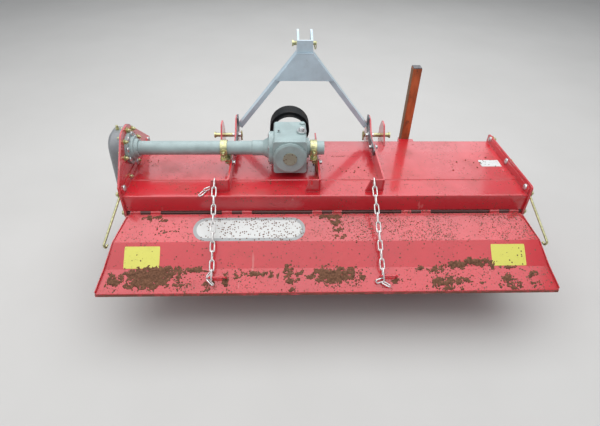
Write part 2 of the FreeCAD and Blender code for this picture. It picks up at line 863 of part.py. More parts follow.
def from_deck_edge(line):
    """Points counted from the deck's front top edge, in the frame of the hinge line."""
    return [(D.deck_depth + y, D.deck_height + z, radius) for y, z, radius in line]


def brackets():
    """Bent plates on the deck. The outer two reach forward as the hitch's inner cheeks."""
    base = D.deck_height
    t = D.cheek_plate
    top = base + D.bracket_height
    front = D.deck_depth + D.seat_gap
    outer, inner = D.bracket_reach, D.middle_bracket_reach
    table = [
        # name, side plate's centre line, leg towards -X and the cut of its end, front end
        # from the deck's edge, whether it has an ear, and the chain slot's place
        ("left", D.hitch_x - D.inner_cheek, D.left_bracket_leg, 14, outer, True, CHAINS[0][1]),
        ("right", D.hitch_x + D.inner_cheek, D.right_bracket_leg, 22, outer, True, CHAINS[1][1]),
        ("middle", D.middle_bracket_x, D.middle_bracket_leg, 18, inner, False,
         D.middle_bracket_x + t / 2 - D.middle_slot),
    ]
    for name, x, leg, cut, short, ear, slot in table:
        body = new_body("bracket_%s_body" % name)
        reach = D.deck_depth - short
        right = x + t / 2
        rear = D.bracket_rear_y
        pad(body, XY, base, D.bracket_height, [
            (right, reach), (right, rear, D.bracket_bend), (right - leg, rear),
            (right - leg, rear + t), (right - t, rear + t, D.bracket_bend - t), (right - t, reach),
        ])
        if ear:
            back = D.deck_depth - D.cheek_root
            pad(body, YZ, right - t, t, [(back, base), (back, top)] + from_deck_edge(INNER_EAR) + [
                (front, base - D.cheek_drop, 4), (front, base),
            ], holes=[(PIN_Y, PIN_Z, D.lower_pin_radius + D.pin_play)])
        left = right - leg
        pocket(body, XZ, -rear - t - 1, t + 2, [
            (left - 2, base + 1), (left, base + 1), (left + cut, top + 1), (left - 2, top + 1),
        ])
        near, far = slot - D.chain_slot / 2, slot + D.chain_slot / 2
        low = top - D.chain_slot_depth
        pocket(body, XZ, -rear - t - 1, t + 2, [
            (near, low, 3), (far, low, 3), (far, top + 1), (near, top + 1),
        ])
        rib = D.deck_rib_y + D.deck_rib_width
        pocket(body, YZ, right - leg - 2, leg + 4, [
            (D.deck_rib_y - 2, base - 1), (D.deck_rib_y - 2, base + D.deck_rib_height + 0.5),
            (rib + 2, base + D.deck_rib_height + 0.5), (rib + 2, base - 1),
        ])
        piece(placed(body), "bracket_" + name)


def outer_cheeks():
    """The short plates that make a fork with the inner cheeks at each lower pin."""
    base = D.deck_height
    front = D.deck_depth + D.seat_gap
    plates = []
    for name, x in (("left", D.hitch_x - D.outer_cheek), ("right", D.hitch_x + D.outer_cheek)):
        body = new_body("outer_cheek_%s_body" % name)
        plate = [(D.deck_depth - D.bracket_reach, base)] + from_deck_edge(OUTER_EAR)
        plate += [(front, base - D.cheek_drop, 4), (front, base)]
        pad(body, YZ, x - D.cheek_plate / 2, D.cheek_plate, plate, holes=[
            (PIN_Y, PIN_Z, D.lower_pin_radius + D.pin_play)])
        plates.append(placed(body))
    piece(group("outer_cheeks_group", plates), "hitch_outer_cheeks")


def lower_pins():
    """The two lower hitch pins, with their heads outwards."""
    pins = []
    r = D.lower_pin_radius
    seat = r - D.pin_seat
    for name, side in (("left", -1), ("right", 1)):
        outer = side * D.lower_pin_outer_end
        inner = side * D.lower_pin_inner_end
        near = side * (D.inner_cheek + D.cheek_plate / 2 + D.seat_gap)
        far = side * (D.outer_cheek - D.cheek_plate / 2 - D.seat_gap)
        body = turned("lower_pin_%s_body" % name, XZ, [
            (inner, 0), (inner, seat - 2), (inner + side * 2, seat), (near, seat), (near, r), (far, r),
            (far, seat), (outer - side * D.pin_head, seat), (outer - side * D.pin_head, D.pin_head_radius),
            (outer, D.pin_head_radius), (outer, 0),
        ])
        pins.append(placed(body, D.hitch_x, PIN_Y, PIN_Z))
    piece(group("lower_pins_group", pins), "lower_hitch_pins")


# The strap that ties a leg's foot to its bracket, counted as the ears are.
FOOT_STRAP = [
    (-9.0, 134.0, 6.0), (37.0, 134.0, 6.0), (37.0, 66.0, 30.0), (-40.0, 34.0, 30.0), (-221.0, 34.0, 14.0),
    (-221.0, 72.0, 14.0), (-60.0, 72.0, 30.0), (-9.0, 100.0, 30.0),
]

# The legs lean in from their straps to the top fork's ears.
STRAP_FACE = D.inner_cheek - D.cheek_plate / 2 - D.foot_strap - D.seat_gap
EAR_FACE = D.top_ear_half + D.seat_gap
FIRST_LEAN = leaning(STRAP_FACE - D.leg_width / 2 - EAR_FACE, D.leg_length)
FOOT_X = STRAP_FACE - D.leg_width / 2 * cosine(FIRST_LEAN)
LEAN = leaning(FOOT_X - EAR_FACE, D.leg_length)
APEX_Z = D.deck_height + D.leg_foot_rise + D.leg_length * cosine(LEAN)


def gusset_half(above_apex):
    """Half the gusset's width at a height over the apex, a little inside the legs' edges."""
    edge = D.leg_width / 2 / cosine(LEAN)
    return EAR_FACE - above_apex * sine(LEAN) / cosine(LEAN) + edge - D.gusset_inset


def head_frame():
    """Two leaning tubes, the gusset between them and their foot straps."""
    half = D.leg_width / 2
    depth = D.leg_depth
    wall = D.leg_wall
    spare = D.leg_width * 2
    for name, side in (("head_frame_leg_left", -1), ("head_frame_leg_right", 1)):
        body = new_body(name + "_body")
        pad(body, XZ, -depth, depth, [
            (-half, 0), (half, 0), (half, D.leg_length + spare), (-half, D.leg_length + spare),
        ])
        pocket(body, XZ, -depth + wall, depth - 2 * wall, [
            (wall - half, -1), (half - wall, -1), (half - wall, D.leg_length + spare + 1),
            (wall - half, D.leg_length + spare + 1),
        ])
        up = (side * sine(LEAN), cosine(LEAN))
        inward = (-side * cosine(LEAN), sine(LEAN))
        reach = spare * 2
        pocket(body, XZ, -depth - 1, depth + 2, [
            (-reach * up[0], D.leg_length - reach * up[1]),
            (reach * up[0], D.leg_length + reach * up[1]),
            (reach * (up[0] + inward[0]), D.leg_length + reach * (up[1] + inward[1])),
            (reach * (inward[0] - up[0]), D.leg_length + reach * (inward[1] - up[1])),
        ])
        body.Placement.Rotation.Axis = FreeCAD.Vector(0, 1, 0)
        body.setExpression("Placement.Rotation.Angle", (-side * LEAN).text)
        piece(placed(body, D.hitch_x + side * FOOT_X, LEG_REAR, D.deck_height + D.leg_foot_rise), name)

    gusset = new_body("gusset_body")
    low, top = gusset_half(-D.gusset_drop), gusset_half(D.gusset_lift)
    low_z, top_z = APEX_Z - D.gusset_drop, APEX_Z + D.gusset_lift
    pad(gusset, XZ, -LEG_REAR + D.seat_gap, D.gusset_plate, [
        (-low, low_z, 4), (low, low_z, 4), (top, top_z, 6), (-top, top_z, 6),
    ])
    piece(placed(gusset, D.hitch_x), "head_frame_gusset")

    feet = []
    for name, side in (("left", -1), ("right", 1)):
        body = new_body("frame_foot_%s_body" % name)
        x = D.hitch_x + side * (STRAP_FACE + D.seat_gap)
        start = x if side > 0 else x - D.foot_strap
        pad(body, YZ, start, D.foot_strap, from_deck_edge(FOOT_STRAP))
        feet.append(placed(body))
    piece(group("frame_feet_group", feet), "head_frame_feet")


def top_hitch():
    """The bent fork at the head of the frame, and its pin."""
    body = new_body("top_fork_body")
    half, t = D.top_ear_half, D.top_ear_plate
    rear = LEG_REAR + D.seat_gap
    front = D.deck_depth + D.fork_forward
    pin_y, pin_z = D.deck_depth + D.top_pin_forward, APEX_Z + D.top_pin_lift
    low, high = pin_z - D.fork_drop, pin_z + D.fork_plate_lift
    crest = pin_z + D.fork_ear_lift
    ear = [
        (rear, low + 2, 6), (front, pin_z - D.fork_ear_drop, 24), (front, crest, 14),
        (front - D.fork_ear_run, crest, 14), (rear, high, 12),
    ]
    for start in (-half, half - t):
        pad(body, YZ, start, t, ear, holes=[(pin_y, pin_z, D.top_pin_radius + D.pin_play)])
    pad(body, XZ, -rear - t, t, [(-half + 1, low), (half - 1, low), (half - 1, high), (-half + 1, high)])
    piece(placed(body, D.hitch_x), "top_hitch_fork")

    r = D.top_pin_radius
    reach = half + D.top_pin_overhang
    head = -reach + D.top_pin_head
    seat = r - D.pin_seat
    free = half - t - D.seat_gap
    pin = turned("top_pin_body", XZ, [
        (-reach, 0), (-reach, r + 5), (head, r + 5), (head, seat), (-free, seat), (-free, r),
        (free, r), (free, seat), (reach - 2, seat), (reach, seat - 2), (reach, 0),
    ])
    piece(placed(pin, D.hitch_x, pin_y, pin_z), "top_hitch_pin")


def board_half(y):
    """Half of the board's width, which grows evenly from the hinge to the bottom."""
    share = y / BOARD_LINE[-1][0]
    return BOARD_TOP_HALF + share * (BOARD_LOW_HALF - BOARD_TOP_HALF)


def extruded(name, plane, corners, start, length):
    """An outline extruded from start along the same directions as pad()."""
    turns = {XY: (0, 0, 1, 0), XZ: (1, 0, 0, 90), YZ: (1, 1, 1, 120)}
    sketch = doc.addObject("Sketcher::SketchObject", name + "_outline")
    *axis, degrees = turns[plane]
    sketch.Placement.Rotation = FreeCAD.Rotation(FreeCAD.Vector(*axis), degrees)
    letter, sign = {XY: ("z", 1), XZ: ("y", -1), YZ: ("x", 1)}[plane]
    sketch.setExpression("Placement.Base." + letter, (sign * size(start)).text)
    outline(sketch, corners)
    solid = doc.addObject("Part::Extrusion", name)
    solid.Base = sketch
    solid.DirMode = "Normal"
    solid.setExpression("LengthFwd", size(length).text)
    solid.Solid = True
    return solid


def bent_rod(points, radius, bend):
    """A round rod along straight runs that are joined by tangent arcs."""
    points = [FreeCAD.Vector(*point) for point in points]
    edges = []
    start = points[0]
    for before, corner, after in zip(points, points[1:], points[2:]):
        to_before = (before - corner).normalize()
        to_after = (after - corner).normalize()
        half = to_before.getAngle(to_after) / 2
        tangent = bend / math.tan(half)
        middle = corner + (to_before + to_after).normalize() * (bend / math.sin(half) - bend)
        edges.append(Part.LineSegment(start, corner + to_before * tangent).toShape())
        start = corner + to_after * tangent
        edges.append(Part.Arc(corner + to_before * tangent, middle, start).toShape())
    edges.append(Part.LineSegment(start, points[-1]).toShape())
    path = Part.Wire(edges)
    section = Part.Wire(Part.Circle(points[0], points[1] - points[0], radius).toShape())
    return path.makePipeShell([section], True, True)


def boolean(kind, name, shapes):
    """A Part::MultiCommon or Part::MultiFuse of several solids."""
    result = doc.addObject(kind, name)
    result.Shapes = shapes
    return result


def on_low_facet(rise):
    """The staples' place on the board's lowest facet, moved outwards by rise."""
    (y0, z0), (y1, z1) = BOARD_LINE[-2:]
    run, fall = y1 - y0, z1 - z0
    length = math.hypot(run, fall)
    y = STAPLE_Y + rise * fall / length
    z = z0 + (STAPLE_Y - y0) * fall / run - rise * run / length
    return y, z


def tail_board():
    """Three facets between flared ends, with standing rims and a lip along the bottom."""
    t = D.board_sheet
    (y0, z0), (y1, z1), (y2, z2), (y3, z3) = BOARD_LINE
    reach = BOARD_LOW_HALF + 30
    roll = D.board_roll
    set_back = D.board_lip_set
    folded = extruded("board_folded", YZ, [
        (y0, z0), (y1, z1), (y2, z2), (y3, z3, 3), (y3 - set_back, z3 - roll), (y3 - set_back + t, z3 - roll),
        (y3 + 1.1 * t, z3 - 0.8 * t), (y2 + 0.5 * t, z2 - 1.05 * t), (y1 + 0.4 * t, z1 - 1.05 * t),
        (y0 + 0.3 * t, z0 - t),
    ], -reach, 2 * reach)
    far = y3 - 12
    width = extruded("board_width", XY, [
        (-BOARD_TOP_HALF, 0), (BOARD_TOP_HALF, 0), (board_half(far), far),
        (-board_half(far), far),
    ], -300, 400)
    parts = [boolean("Part::MultiCommon", "board_sheet_body", [folded, width])]

    rim_line = [
        # back, up, and how far the rim stands up there
        (-26.0, -10.0, 2.0),
        (-70.0, -25.0, 2.5),
        (y1, z1, 5.0),
        (y2, z2, 10.0),
        (y3 + 2, z3 - 1, D.board_rim.number),
    ]
    low = [(y, z - 1.0) for y, z, rise in rim_line]
    high = [(y - 0.45 * rise, z + 0.9 * rise) for y, z, rise in rim_line]
    high[-1] = (y3 + 2, z3 + D.board_rim)
    for side in (-1, 1):
        tall = extruded("rim_tall", YZ, low + high[::-1], -reach, 2 * reach)
        strip = extruded("rim_strip", XY, [
            (side * BOARD_TOP_HALF, 0), (side * board_half(far), far),
            (side * (board_half(far) - t), far), (side * (BOARD_TOP_HALF - t), 0),
        ], -300, 400)
        parts.append(boolean("Part::MultiCommon", "rim_body", [tall, strip]))

    knuckle = D.hinge_knuckle
    for share in HINGE_SHARES:
        place = share * (D.deck_half_width - D.hinge_inset)
        for start in (place - knuckle / 2 - D.hinge_gap - knuckle, place + knuckle / 2 + D.hinge_gap):
            body = new_body("board_knuckle")
            pad(body, YZ, start, knuckle, holes=[
                (HINGE_Y, HINGE_Z, D.knuckle_radius), (HINGE_Y, HINGE_Z, D.hinge_rod_radius + D.pin_play)])
            pad(body, YZ, start, knuckle, [
                (-5, z0 - 0.2), (y0 - 8, z0 - 2.9), (y0 - 8, z0 - 5.4), (-5, z0 - 3.2),
            ])
            parts.append(body)
    for x in STAPLE_PLACES:
        staple = doc.addObject("Part::Feature", "chain_staple")
        half = D.staple_width.number / 2
        foot = on_low_facet(-D.staple_root.number)
        bar = on_low_facet(D.staple_rise.number)
        staple.Shape = bent_rod([
            (x - half, *foot), (x - half, *bar), (x + half, *bar), (x + half, *foot),
        ], D.staple_radius.number, D.staple_bend.number)
        parts.append(staple)
    board = boolean("Part::MultiFuse", "tail_board_fused", parts)
    board.Refine = True
    piece(placed(board), "tail_board")


def hinge():
    """The rod, and the leaves inside the deck's lip that carry it."""
    rod = turned("hinge_rod_body", XZ, ring(size(0), D.hinge_rod_radius, -OUTSIDE - 8, OUTSIDE + 8))
    piece(placed(rod, 0, HINGE_Y, HINGE_Z), "hinge_rod")
    leaves = []
    inside = D.deck_sheet
    for share in HINGE_SHARES:
        place = share * (D.deck_half_width - D.hinge_inset)
        body = new_body("hinge_leaf")
        start = place - D.hinge_knuckle / 2
        pad(body, YZ, start, D.hinge_knuckle, holes=[
            (HINGE_Y, HINGE_Z, D.knuckle_radius), (HINGE_Y, HINGE_Z, D.hinge_rod_radius + D.pin_play)])
        pad(body, YZ, start, D.hinge_knuckle, [
            (inside, D.leaf_rise), (inside, -D.leaf_drop), (inside + D.leaf_plate, -D.leaf_drop),
            (inside + D.leaf_plate, D.leaf_rise),
        ])
        leaves.append(placed(body))
    piece(group("hinge_leaves_group", leaves), "hinge_leaves")


# Which way each rotor flange carries tines: place as a share of the end flange's, and sides.
ROTOR_FLANGES = [
    (-1.0, (1,)),
    (-5 / 7, (-1, 1)),
    (-3 / 7, (-1, 1)),
    (-1 / 7, (-1, 1)),
    (1 / 7, (-1, 1)),
    (3 / 7, (-1, 1)),
    (5 / 7, (-1, 1)),
    (1.0, (-1,)),
]
TINES_A_SIDE = 3
STAGGER = 26.0
TINE_REACH = END_FLANGE_X / (len(ROTOR_FLANGES) - 1) - D.tine_gap


def rotor_shaft():
    """The tube with its flanges, turned in one piece, on end journals."""
    tube, disc, t = D.rotor_tube_radius, D.rotor_flange_radius, D.rotor_flange / 2
    journal = D.hub_bore - D.hub_play
    tube_end = END_FLANGE_X + 30
    reach = D.deck_half_width - D.journal_inset
    corners = [(-reach, 0), (-reach, journal), (-tube_end, journal), (-tube_end, tube)]
    for share, sides in ROTOR_FLANGES:
        x = share * END_FLANGE_X
        corners += [(x - t, tube), (x - t, disc), (x + t, disc), (x + t, tube)]
    corners += [(tube_end, tube), (tube_end, journal), (reach, journal), (reach, 0)]
    piece(placed(turned("rotor_shaft_body", XZ, corners), 0, D.rotor_y, -D.rotor_drop), "rotor_shaft")


def tine_blank(side):
    """One bent blade: its shank on the flange's face, its wing out along the rotor.

    It is what a bent strip, tilted for relief behind its leading edge, has in common with
    the blade's outline seen along the rotor.
    """
    name = "tine_right" if side > 0 else "tine_left"
    t = D.tine_plate
    lead = D.tine_sweep - D.tine_wing / 2
    high = D.tine_radius * cosine(D.tine_tilt - angle_of(lead, D.tine_radius))
    reach = D.tine_radius / 2
    bent = extruded(name + "_bent", XZ, [
        (0, 20), (0, high, D.tine_bend), (side * TINE_REACH, high),
        (side * TINE_REACH, high - t), (side * t, high - t, D.tine_bend - t), (side * t, 20),
    ], -reach, 2 * reach)
    tilted = group(name + "_tilted", [bent])
    tilted.Placement.Rotation.Axis = FreeCAD.Vector(1, 0, 0)
    tilted.setExpression("Placement.Rotation.Angle", D.tine_tilt.text)
    half = D.tine_shank / 2
    tip = D.tine_radius + 20
    edge = extruded(name + "_edge", YZ, [
        (-half, D.tine_root, 12), (half, D.tine_root, 12), (half, D.tine_heel, D.tine_curve),
        (-lead, tip), (-lead - D.tine_wing, tip), (-half - 8, D.tine_back, D.tine_curve),
    ], -TINE_REACH - 20, 2 * (TINE_REACH + 20))
    return boolean("Part::MultiCommon", name, [tilted, edge])


def rotor_tines():
    """The blades: three on each face of a flange, each flange turned on from the last."""
    blanks = {side: tine_blank(side) for side in (-1, 1)}
    blades = []
    for number, (share, sides) in enumerate(ROTOR_FLANGES):
        for side in sides:
            for index in range(TINES_A_SIDE):
                degrees = STAGGER * number + 360.0 / TINES_A_SIDE * index + (0 if side < 0 else 60)
                blade = doc.addObject("App::Link", "tine")
                blade.LinkedObject = blanks[side]
                blade.Placement = FreeCAD.Placement(
                    FreeCAD.Vector(0, 0, 0), FreeCAD.Rotation(FreeCAD.Vector(1, 0, 0), degrees))
                placed(blade, share * END_FLANGE_X + side * (D.rotor_flange / 2), D.rotor_y, -D.rotor_drop)
                blades.append(blade)
    piece(group("rotor_tines_group", blades), "rotor_tines")


def rotor_hubs():
    """The bearing housings inside both plates, and the cap outside the right one."""
    hubs = []
    start = D.deck_half_width
    end = D.deck_half_width - D.hub_depth
    for name, side in (("left", -1), ("right", 1)):
        body = turned("hub_%s_body" % name, XZ, [
            (side * start, D.hub_bore), (side * start, D.hub_radius),
            (side * (start - D.hub_foot), D.hub_radius), (side * end, D.hub_nose_radius),
            (side * end, D.hub_bore),
        ])
        hubs.append(placed(body, 0, D.rotor_y, -D.rotor_drop))
    piece(group("rotor_hubs_group", hubs), "rotor_bearing_hubs")
    rim = OUTSIDE + D.cap_flange
    end = OUTSIDE + D.cap_dome
    cap = turned("bearing_cap_body", XZ, [
        (OUTSIDE, 0), (OUTSIDE, D.cap_radius), (rim, D.cap_radius), (rim + 4, D.cap_radius - 20),
        (end - 4, D.cap_radius - 26), (end, 0),
    ])
    piece(placed(cap, 0, D.rotor_y, -D.rotor_drop), "rotor_bearing_cap")


def parking_stand():
    """A square leg that slides in a sleeve on the front lip, shown raised."""
    inner = D.stand_tube / 2 + D.stand_clearance
    outer = inner + D.stand_wall
    sleeve = new_body("stand_sleeve_body")
    bottom = D.deck_height - D.sleeve_drop - D.sleeve_height
    pad(sleeve, XY, bottom, D.sleeve_height, square(outer, D.sleeve_corner))
    pocket(sleeve, XY, bottom - 1, D.sleeve_height + 2, square(inner, 3))
    half, top = D.sleeve_plate / 2, FRONT_TOP - D.sleeve_plate_inset
    pad(sleeve, XZ, outer, D.stand_forward - outer - D.seat_gap, [
        (-half, bottom + 2), (half, bottom + 2), (half, top), (-half, top),
    ])
    stand_y = D.deck_depth + D.stand_forward
    piece(placed(sleeve, D.stand_x, stand_y), "stand_sleeve")

    leg = new_body("stand_leg_body")
    half = D.stand_tube / 2
    hollow = half - D.stand_wall
    length = D.stand_top - D.stand_bottom
    pad(leg, XY, D.stand_bottom, length, square(half, D.sleeve_corner - 2))
    pocket(leg, XY, D.stand_bottom, length - D.stand_cap, square(hollow, 2))
    foot = D.stand_foot / 2
    pad(leg, XY, D.stand_bottom - D.stand_foot_plate, D.stand_foot_plate, square(foot, 10))
    piece(placed(leg, D.stand_x, stand_y), "stand_leg")


# The links from a staple up to the one in the bracket's slot, that link's middle, and the
# way along it to the wire of the link that hangs from it behind the bracket.
SLOT_LINK = 10
SLOT_PLACE = (30.5, 130.0)
HANGER_REACH = 14.9


def chain_link(body, way, width, place):
    """A copy of the link, its length and its width along these directions."""
    link = doc.addObject("App::Link", body.Name + "_copy")
    link.LinkedObject = body
    link.Placement.Rotation = FreeCAD.Rotation(way, width, way.cross(width), "XYZ")
    return placed(link, *place)


def chains():
    """Taut chains of flat links, every other one turned a quarter, from staple to slot."""
    wire = D.chain_wire.number
    slack = D.chain_slack.number
    grip = D.staple_radius.number + D.seat_gap.number
    bar = on_low_facet(D.staple_rise.number)
    for name, top_x, foot_x in CHAINS:
        foot = FreeCAD.Vector(foot_x, *bar)
        way = FreeCAD.Vector(top_x, *SLOT_PLACE) - foot
        pitch = (way.Length + grip - slack / 2) / (SLOT_LINK + 0.5)
        inside = (pitch + slack) / 2
        way.normalize()
        side = D.chain_width / 2
        hole = side - wire
        body = new_body(name + "_link_body")
        pad(body, XY, -wire / 2, wire, square(size(inside + wire), side - 0.5, side))
        pocket(body, XY, -wire / 2 - 1, wire + 2, square(size(inside), hole / 4, hole))
        across = FreeCAD.Vector(1, 0, 0)
        across = (across - way * across.dot(way)).normalize()
        links = []
        for index in range(SLOT_LINK + 1):
            width = way.cross(across) if index % 2 == 0 else across
            along = index * pitch + inside - grip
            links.append(chain_link(body, way, width, foot + way * along))
        down = FreeCAD.Vector(0, 0, -1)
        wire_place = FreeCAD.Vector(top_x, *SLOT_PLACE) + way * HANGER_REACH
        hanger = wire_place + down * (inside + wire / 2)
        links.append(chain_link(body, down, FreeCAD.Vector(1, 0, 0), hanger))
        piece(group(name + "_group", links), name)


# A side rod's route from its eye down to the hooked end, the first column outside the plate.
ROD_ROUTE = [(6.5, 22.0, 76.0), (60.0, -158.0, -64.0), (59.0, -150.0, -86.0), (57.0, -132.0, -82.0)]


def side_rods():
    """The zinc-plated rods that hang from eyes outside both side plates."""
    radius = D.side_rod_radius.number
    outside = OUTSIDE.number
    bend = D.side_rod_bend.number
    rod = bent_rod([(-outside - out, y, z) for out, y, z in ROD_ROUTE], radius, bend)
    width = D.side_rod_eye_width.number
    middle = FreeCAD.Vector(-outside - D.seat_gap.number - width, *ROD_ROUTE[0][1:])
    eye = Part.makeCylinder(D.side_rod_eye.number, width, middle, FreeCAD.Vector(1, 0, 0))
    left = doc.addObject("Part::Feature", "side_rod_left")
    left.Shape = rod.fuse(eye).removeSplitter()
    right = mirrored(left, "side_rod_right")
    piece(placed(group("side_rods_group", [left, right])), "side_rods")


def check_and_write():
    """Recomputes, checks every object and writes each sub-part's file."""
    doc.recompute()
    for thing in doc.Objects:
        for state in thing.State:
            if state in ("Invalid", "Error"):
                raise ValueError("%s is %s" % (thing.Name, state))
    os.makedirs("parts", exist_ok=True)
    for thing in PIECES:
        shape = Part.getShape(thing)
        if shape.isNull() or not shape.isValid() or not shape.Solids:
            raise ValueError("%s has no sound shape" % thing.Label)
        shape.exportStep("parts/%s.step" % thing.Label)
        box = shape.BoundBox
        print("%-22s %2d solids %10.0f mm3  x %7.1f %7.1f  y %7.1f %7.1f  z %7.1f %7.1f" % (
            thing.Label, len(shape.Solids), shape.Volume, box.XMin, box.XMax, box.YMin, box.YMax,
            box.ZMin, box.ZMax))


deck()
front_beam()
side_plates()
skids()
gear_case()
drive_tube()
gearbox()
tube_clamps()
brackets()
outer_cheeks()
lower_pins()
head_frame()
top_hitch()
tail_board()
hinge()
rotor_shaft()
rotor_tines()
rotor_hubs()
parking_stand()
chains()
side_rods()
check_and_write()
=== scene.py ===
import math

import bmesh
import bpy
from mathutils import Matrix, Quaternion, Vector, noise


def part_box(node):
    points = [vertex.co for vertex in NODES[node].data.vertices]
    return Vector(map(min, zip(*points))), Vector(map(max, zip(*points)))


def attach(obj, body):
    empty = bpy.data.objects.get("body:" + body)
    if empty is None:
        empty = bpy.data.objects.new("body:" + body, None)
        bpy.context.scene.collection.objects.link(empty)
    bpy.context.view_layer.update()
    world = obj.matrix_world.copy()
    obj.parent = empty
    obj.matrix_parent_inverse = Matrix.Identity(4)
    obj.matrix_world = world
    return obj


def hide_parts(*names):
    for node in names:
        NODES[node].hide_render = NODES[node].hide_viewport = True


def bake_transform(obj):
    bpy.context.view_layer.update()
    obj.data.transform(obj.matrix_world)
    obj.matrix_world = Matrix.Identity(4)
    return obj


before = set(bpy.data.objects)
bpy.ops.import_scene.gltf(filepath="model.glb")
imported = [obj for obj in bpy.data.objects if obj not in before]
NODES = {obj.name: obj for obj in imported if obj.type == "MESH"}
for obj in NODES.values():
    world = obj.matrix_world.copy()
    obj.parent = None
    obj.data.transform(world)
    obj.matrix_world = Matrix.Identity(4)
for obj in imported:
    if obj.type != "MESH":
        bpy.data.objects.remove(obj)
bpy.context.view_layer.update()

bl_info = {
    "name": "Rotary tiller dressing",
    "version": (1, 0, 0),
    "blender": (4, 5, 0),
    "location": "View3D > Sidebar > Tiller",
    "description": "Fasteners, chains, labels, earth and paint for a rotary tiller",
    "category": "Object",
}

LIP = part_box("deck")[0]


def spot(x, y, z):
    """A place in metres from millimetres behind and above the deck's rear lip."""
    return Vector((x / 1000, LIP.y + y / 1000, LIP.z + z / 1000))


# The tail board's outer face from its hinge down, forward distance and height.
BOARD_LINE = [(-13.5, -11.0), (-150.0, -52.5), (-240.0, -125.0), (-330.0, -178.0)]
BOARD_HALF = (888.0, 980.0)
DRIVE = (220.0, 195.0)
GEARBOX_X = -167.0
HITCH_X = -95.0
PLATE_IN = 900.0
PLATE_OUT = 908.0


class TillerSizes(bpy.types.PropertyGroup):
    """Sizes of the small pieces that a user would change."""
    bolt: bpy.props.FloatProperty(
        name="Bolt", description="Across the flats of a body bolt", default=0.019, unit="LENGTH")
    small_bolt: bpy.props.FloatProperty(
        name="Small bolt", description="Across the flats of a cover bolt", default=0.013, unit="LENGTH")
    wire: bpy.props.FloatProperty(
        name="Chain wire", description="Thickness of the chain's wire", default=0.0062, unit="LENGTH")
    clod: bpy.props.FloatProperty(
        name="Clod", description="Largest crumb of earth", default=0.011, unit="LENGTH")
    mud: bpy.props.FloatProperty(
        name="Mud", description="Thickness of the caked earth", default=0.0075, unit="LENGTH")


class TillerColours(bpy.types.PropertyGroup):
    """Colours of the finishes."""
    red: bpy.props.FloatVectorProperty(
        name="Red", description="Enamel on the sheet steel", default=(0.54, 0.015, 0.025),
        subtype="COLOR", size=3, min=0, max=1)
    cast: bpy.props.FloatVectorProperty(
        name="Casting grey", description="Paint on the castings", default=(0.30, 0.385, 0.380),
        subtype="COLOR", size=3, min=0, max=1)
    case: bpy.props.FloatVectorProperty(
        name="Gear case grey", description="Duller paint on the gear case", default=(0.215, 0.226, 0.236),
        subtype="COLOR", size=3, min=0, max=1)
    frame_blue: bpy.props.FloatVectorProperty(
        name="Frame grey", description="Enamel on the head frame", default=(0.47, 0.59, 0.66),
        subtype="COLOR", size=3, min=0, max=1)
    zinc: bpy.props.FloatVectorProperty(
        name="Yellow zinc", description="Passivated bolts and pins", default=(0.62, 0.61, 0.33),
        subtype="COLOR", size=3, min=0, max=1)
    orange: bpy.props.FloatVectorProperty(
        name="Stand", description="Paint on the parking stand", default=(0.44, 0.105, 0.032),
        subtype="COLOR", size=3, min=0, max=1)
    earth: bpy.props.FloatVectorProperty(
        name="Earth", description="Dry red earth", default=(0.150, 0.070, 0.040),
        subtype="COLOR", size=3, min=0, max=1)
    label: bpy.props.FloatVectorProperty(
        name="Blank label", description="Yellow film", default=(0.64, 0.61, 0.10),
        subtype="COLOR", size=3, min=0, max=1)


def sizes():
    return bpy.context.scene.tiller_sizes


def colour(name):
    """A colour of the settings with its alpha, as shader sockets take it."""
    return (*getattr(bpy.context.scene.tiller_colours, name), 1.0)


# Modelling

def begin():
    """Object mode, with nothing selected."""
    if bpy.context.object and bpy.context.object.mode != "OBJECT":
        bpy.ops.object.mode_set(mode="OBJECT")
    bpy.ops.object.select_all(action="DESELECT")


def take(*parts):
    """Selects these parts alone, the first as the active one."""
    begin()
    for part in parts:
        part.select_set(True)
    bpy.context.view_layer.objects.active = parts[0]
    return parts[0]


def rod(radius, depth, sides=24, place=(0, 0, 0), turn=(0, 0, 0)):
    """A cylinder to start from, along Z unless it is turned."""
    begin()
    bpy.ops.mesh.primitive_cylinder_add(
        vertices=sides, radius=radius, depth=depth, location=place, rotation=turn)
    return settle(bpy.context.object)


def block(size, place=(0, 0, 0), turn=(0, 0, 0)):
    """A box to start from."""
    begin()
    bpy.ops.mesh.primitive_cube_add(size=1, location=place, rotation=turn, scale=size)
    return settle(bpy.context.object)


def settle(part):
    """Puts a part's place, turn and scale into its mesh."""
    take(part)
    bpy.ops.object.transform_apply(location=True, rotation=True, scale=True)
    return part


def edit(part, kind, test):
    """Opens the part in edit mode with the faces, edges or points that pass the test selected."""
    take(part)
    bpy.ops.object.mode_set(mode="EDIT")
    bpy.ops.mesh.select_mode(type=kind)
    bpy.ops.mesh.select_all(action="DESELECT")
    mesh = bmesh.from_edit_mesh(part.data)
    items = {"FACE": mesh.faces, "EDGE": mesh.edges, "VERT": mesh.verts}[kind]
    for item in items:
        item.select_set(bool(test(item)))
    bmesh.update_edit_mesh(part.data)


def close():
    bpy.ops.object.mode_set(mode="OBJECT")


def soften(part, width, segments=2, angle=35):
    """Rounds a part's edges and smooths its shading."""
    take(part)
    bevel = part.modifiers.new("round", "BEVEL")
    bevel.width = width
    bevel.segments = segments
    bevel.limit_method = "ANGLE"
    bevel.angle_limit = math.radians(angle)
    bevel.harden_normals = False
    bpy.ops.object.modifier_apply(modifier=bevel.name)
    bpy.ops.object.shade_smooth_by_angle(angle=math.radians(40))
    return part


def outward(part):
    """Merges doubles and points the faces outwards."""
    edit(part, "VERT", lambda v: True)
    bpy.ops.mesh.remove_doubles(threshold=1e-6)
    bpy.ops.mesh.normals_make_consistent(inside=False)
    close()
    return part


def joined(parts, name):
    """One mesh out of several."""
    take(*parts)
    if len(parts) > 1:
        bpy.ops.object.join()
    part = bpy.context.object
    part.name = name
    part.data.name = name
    return part


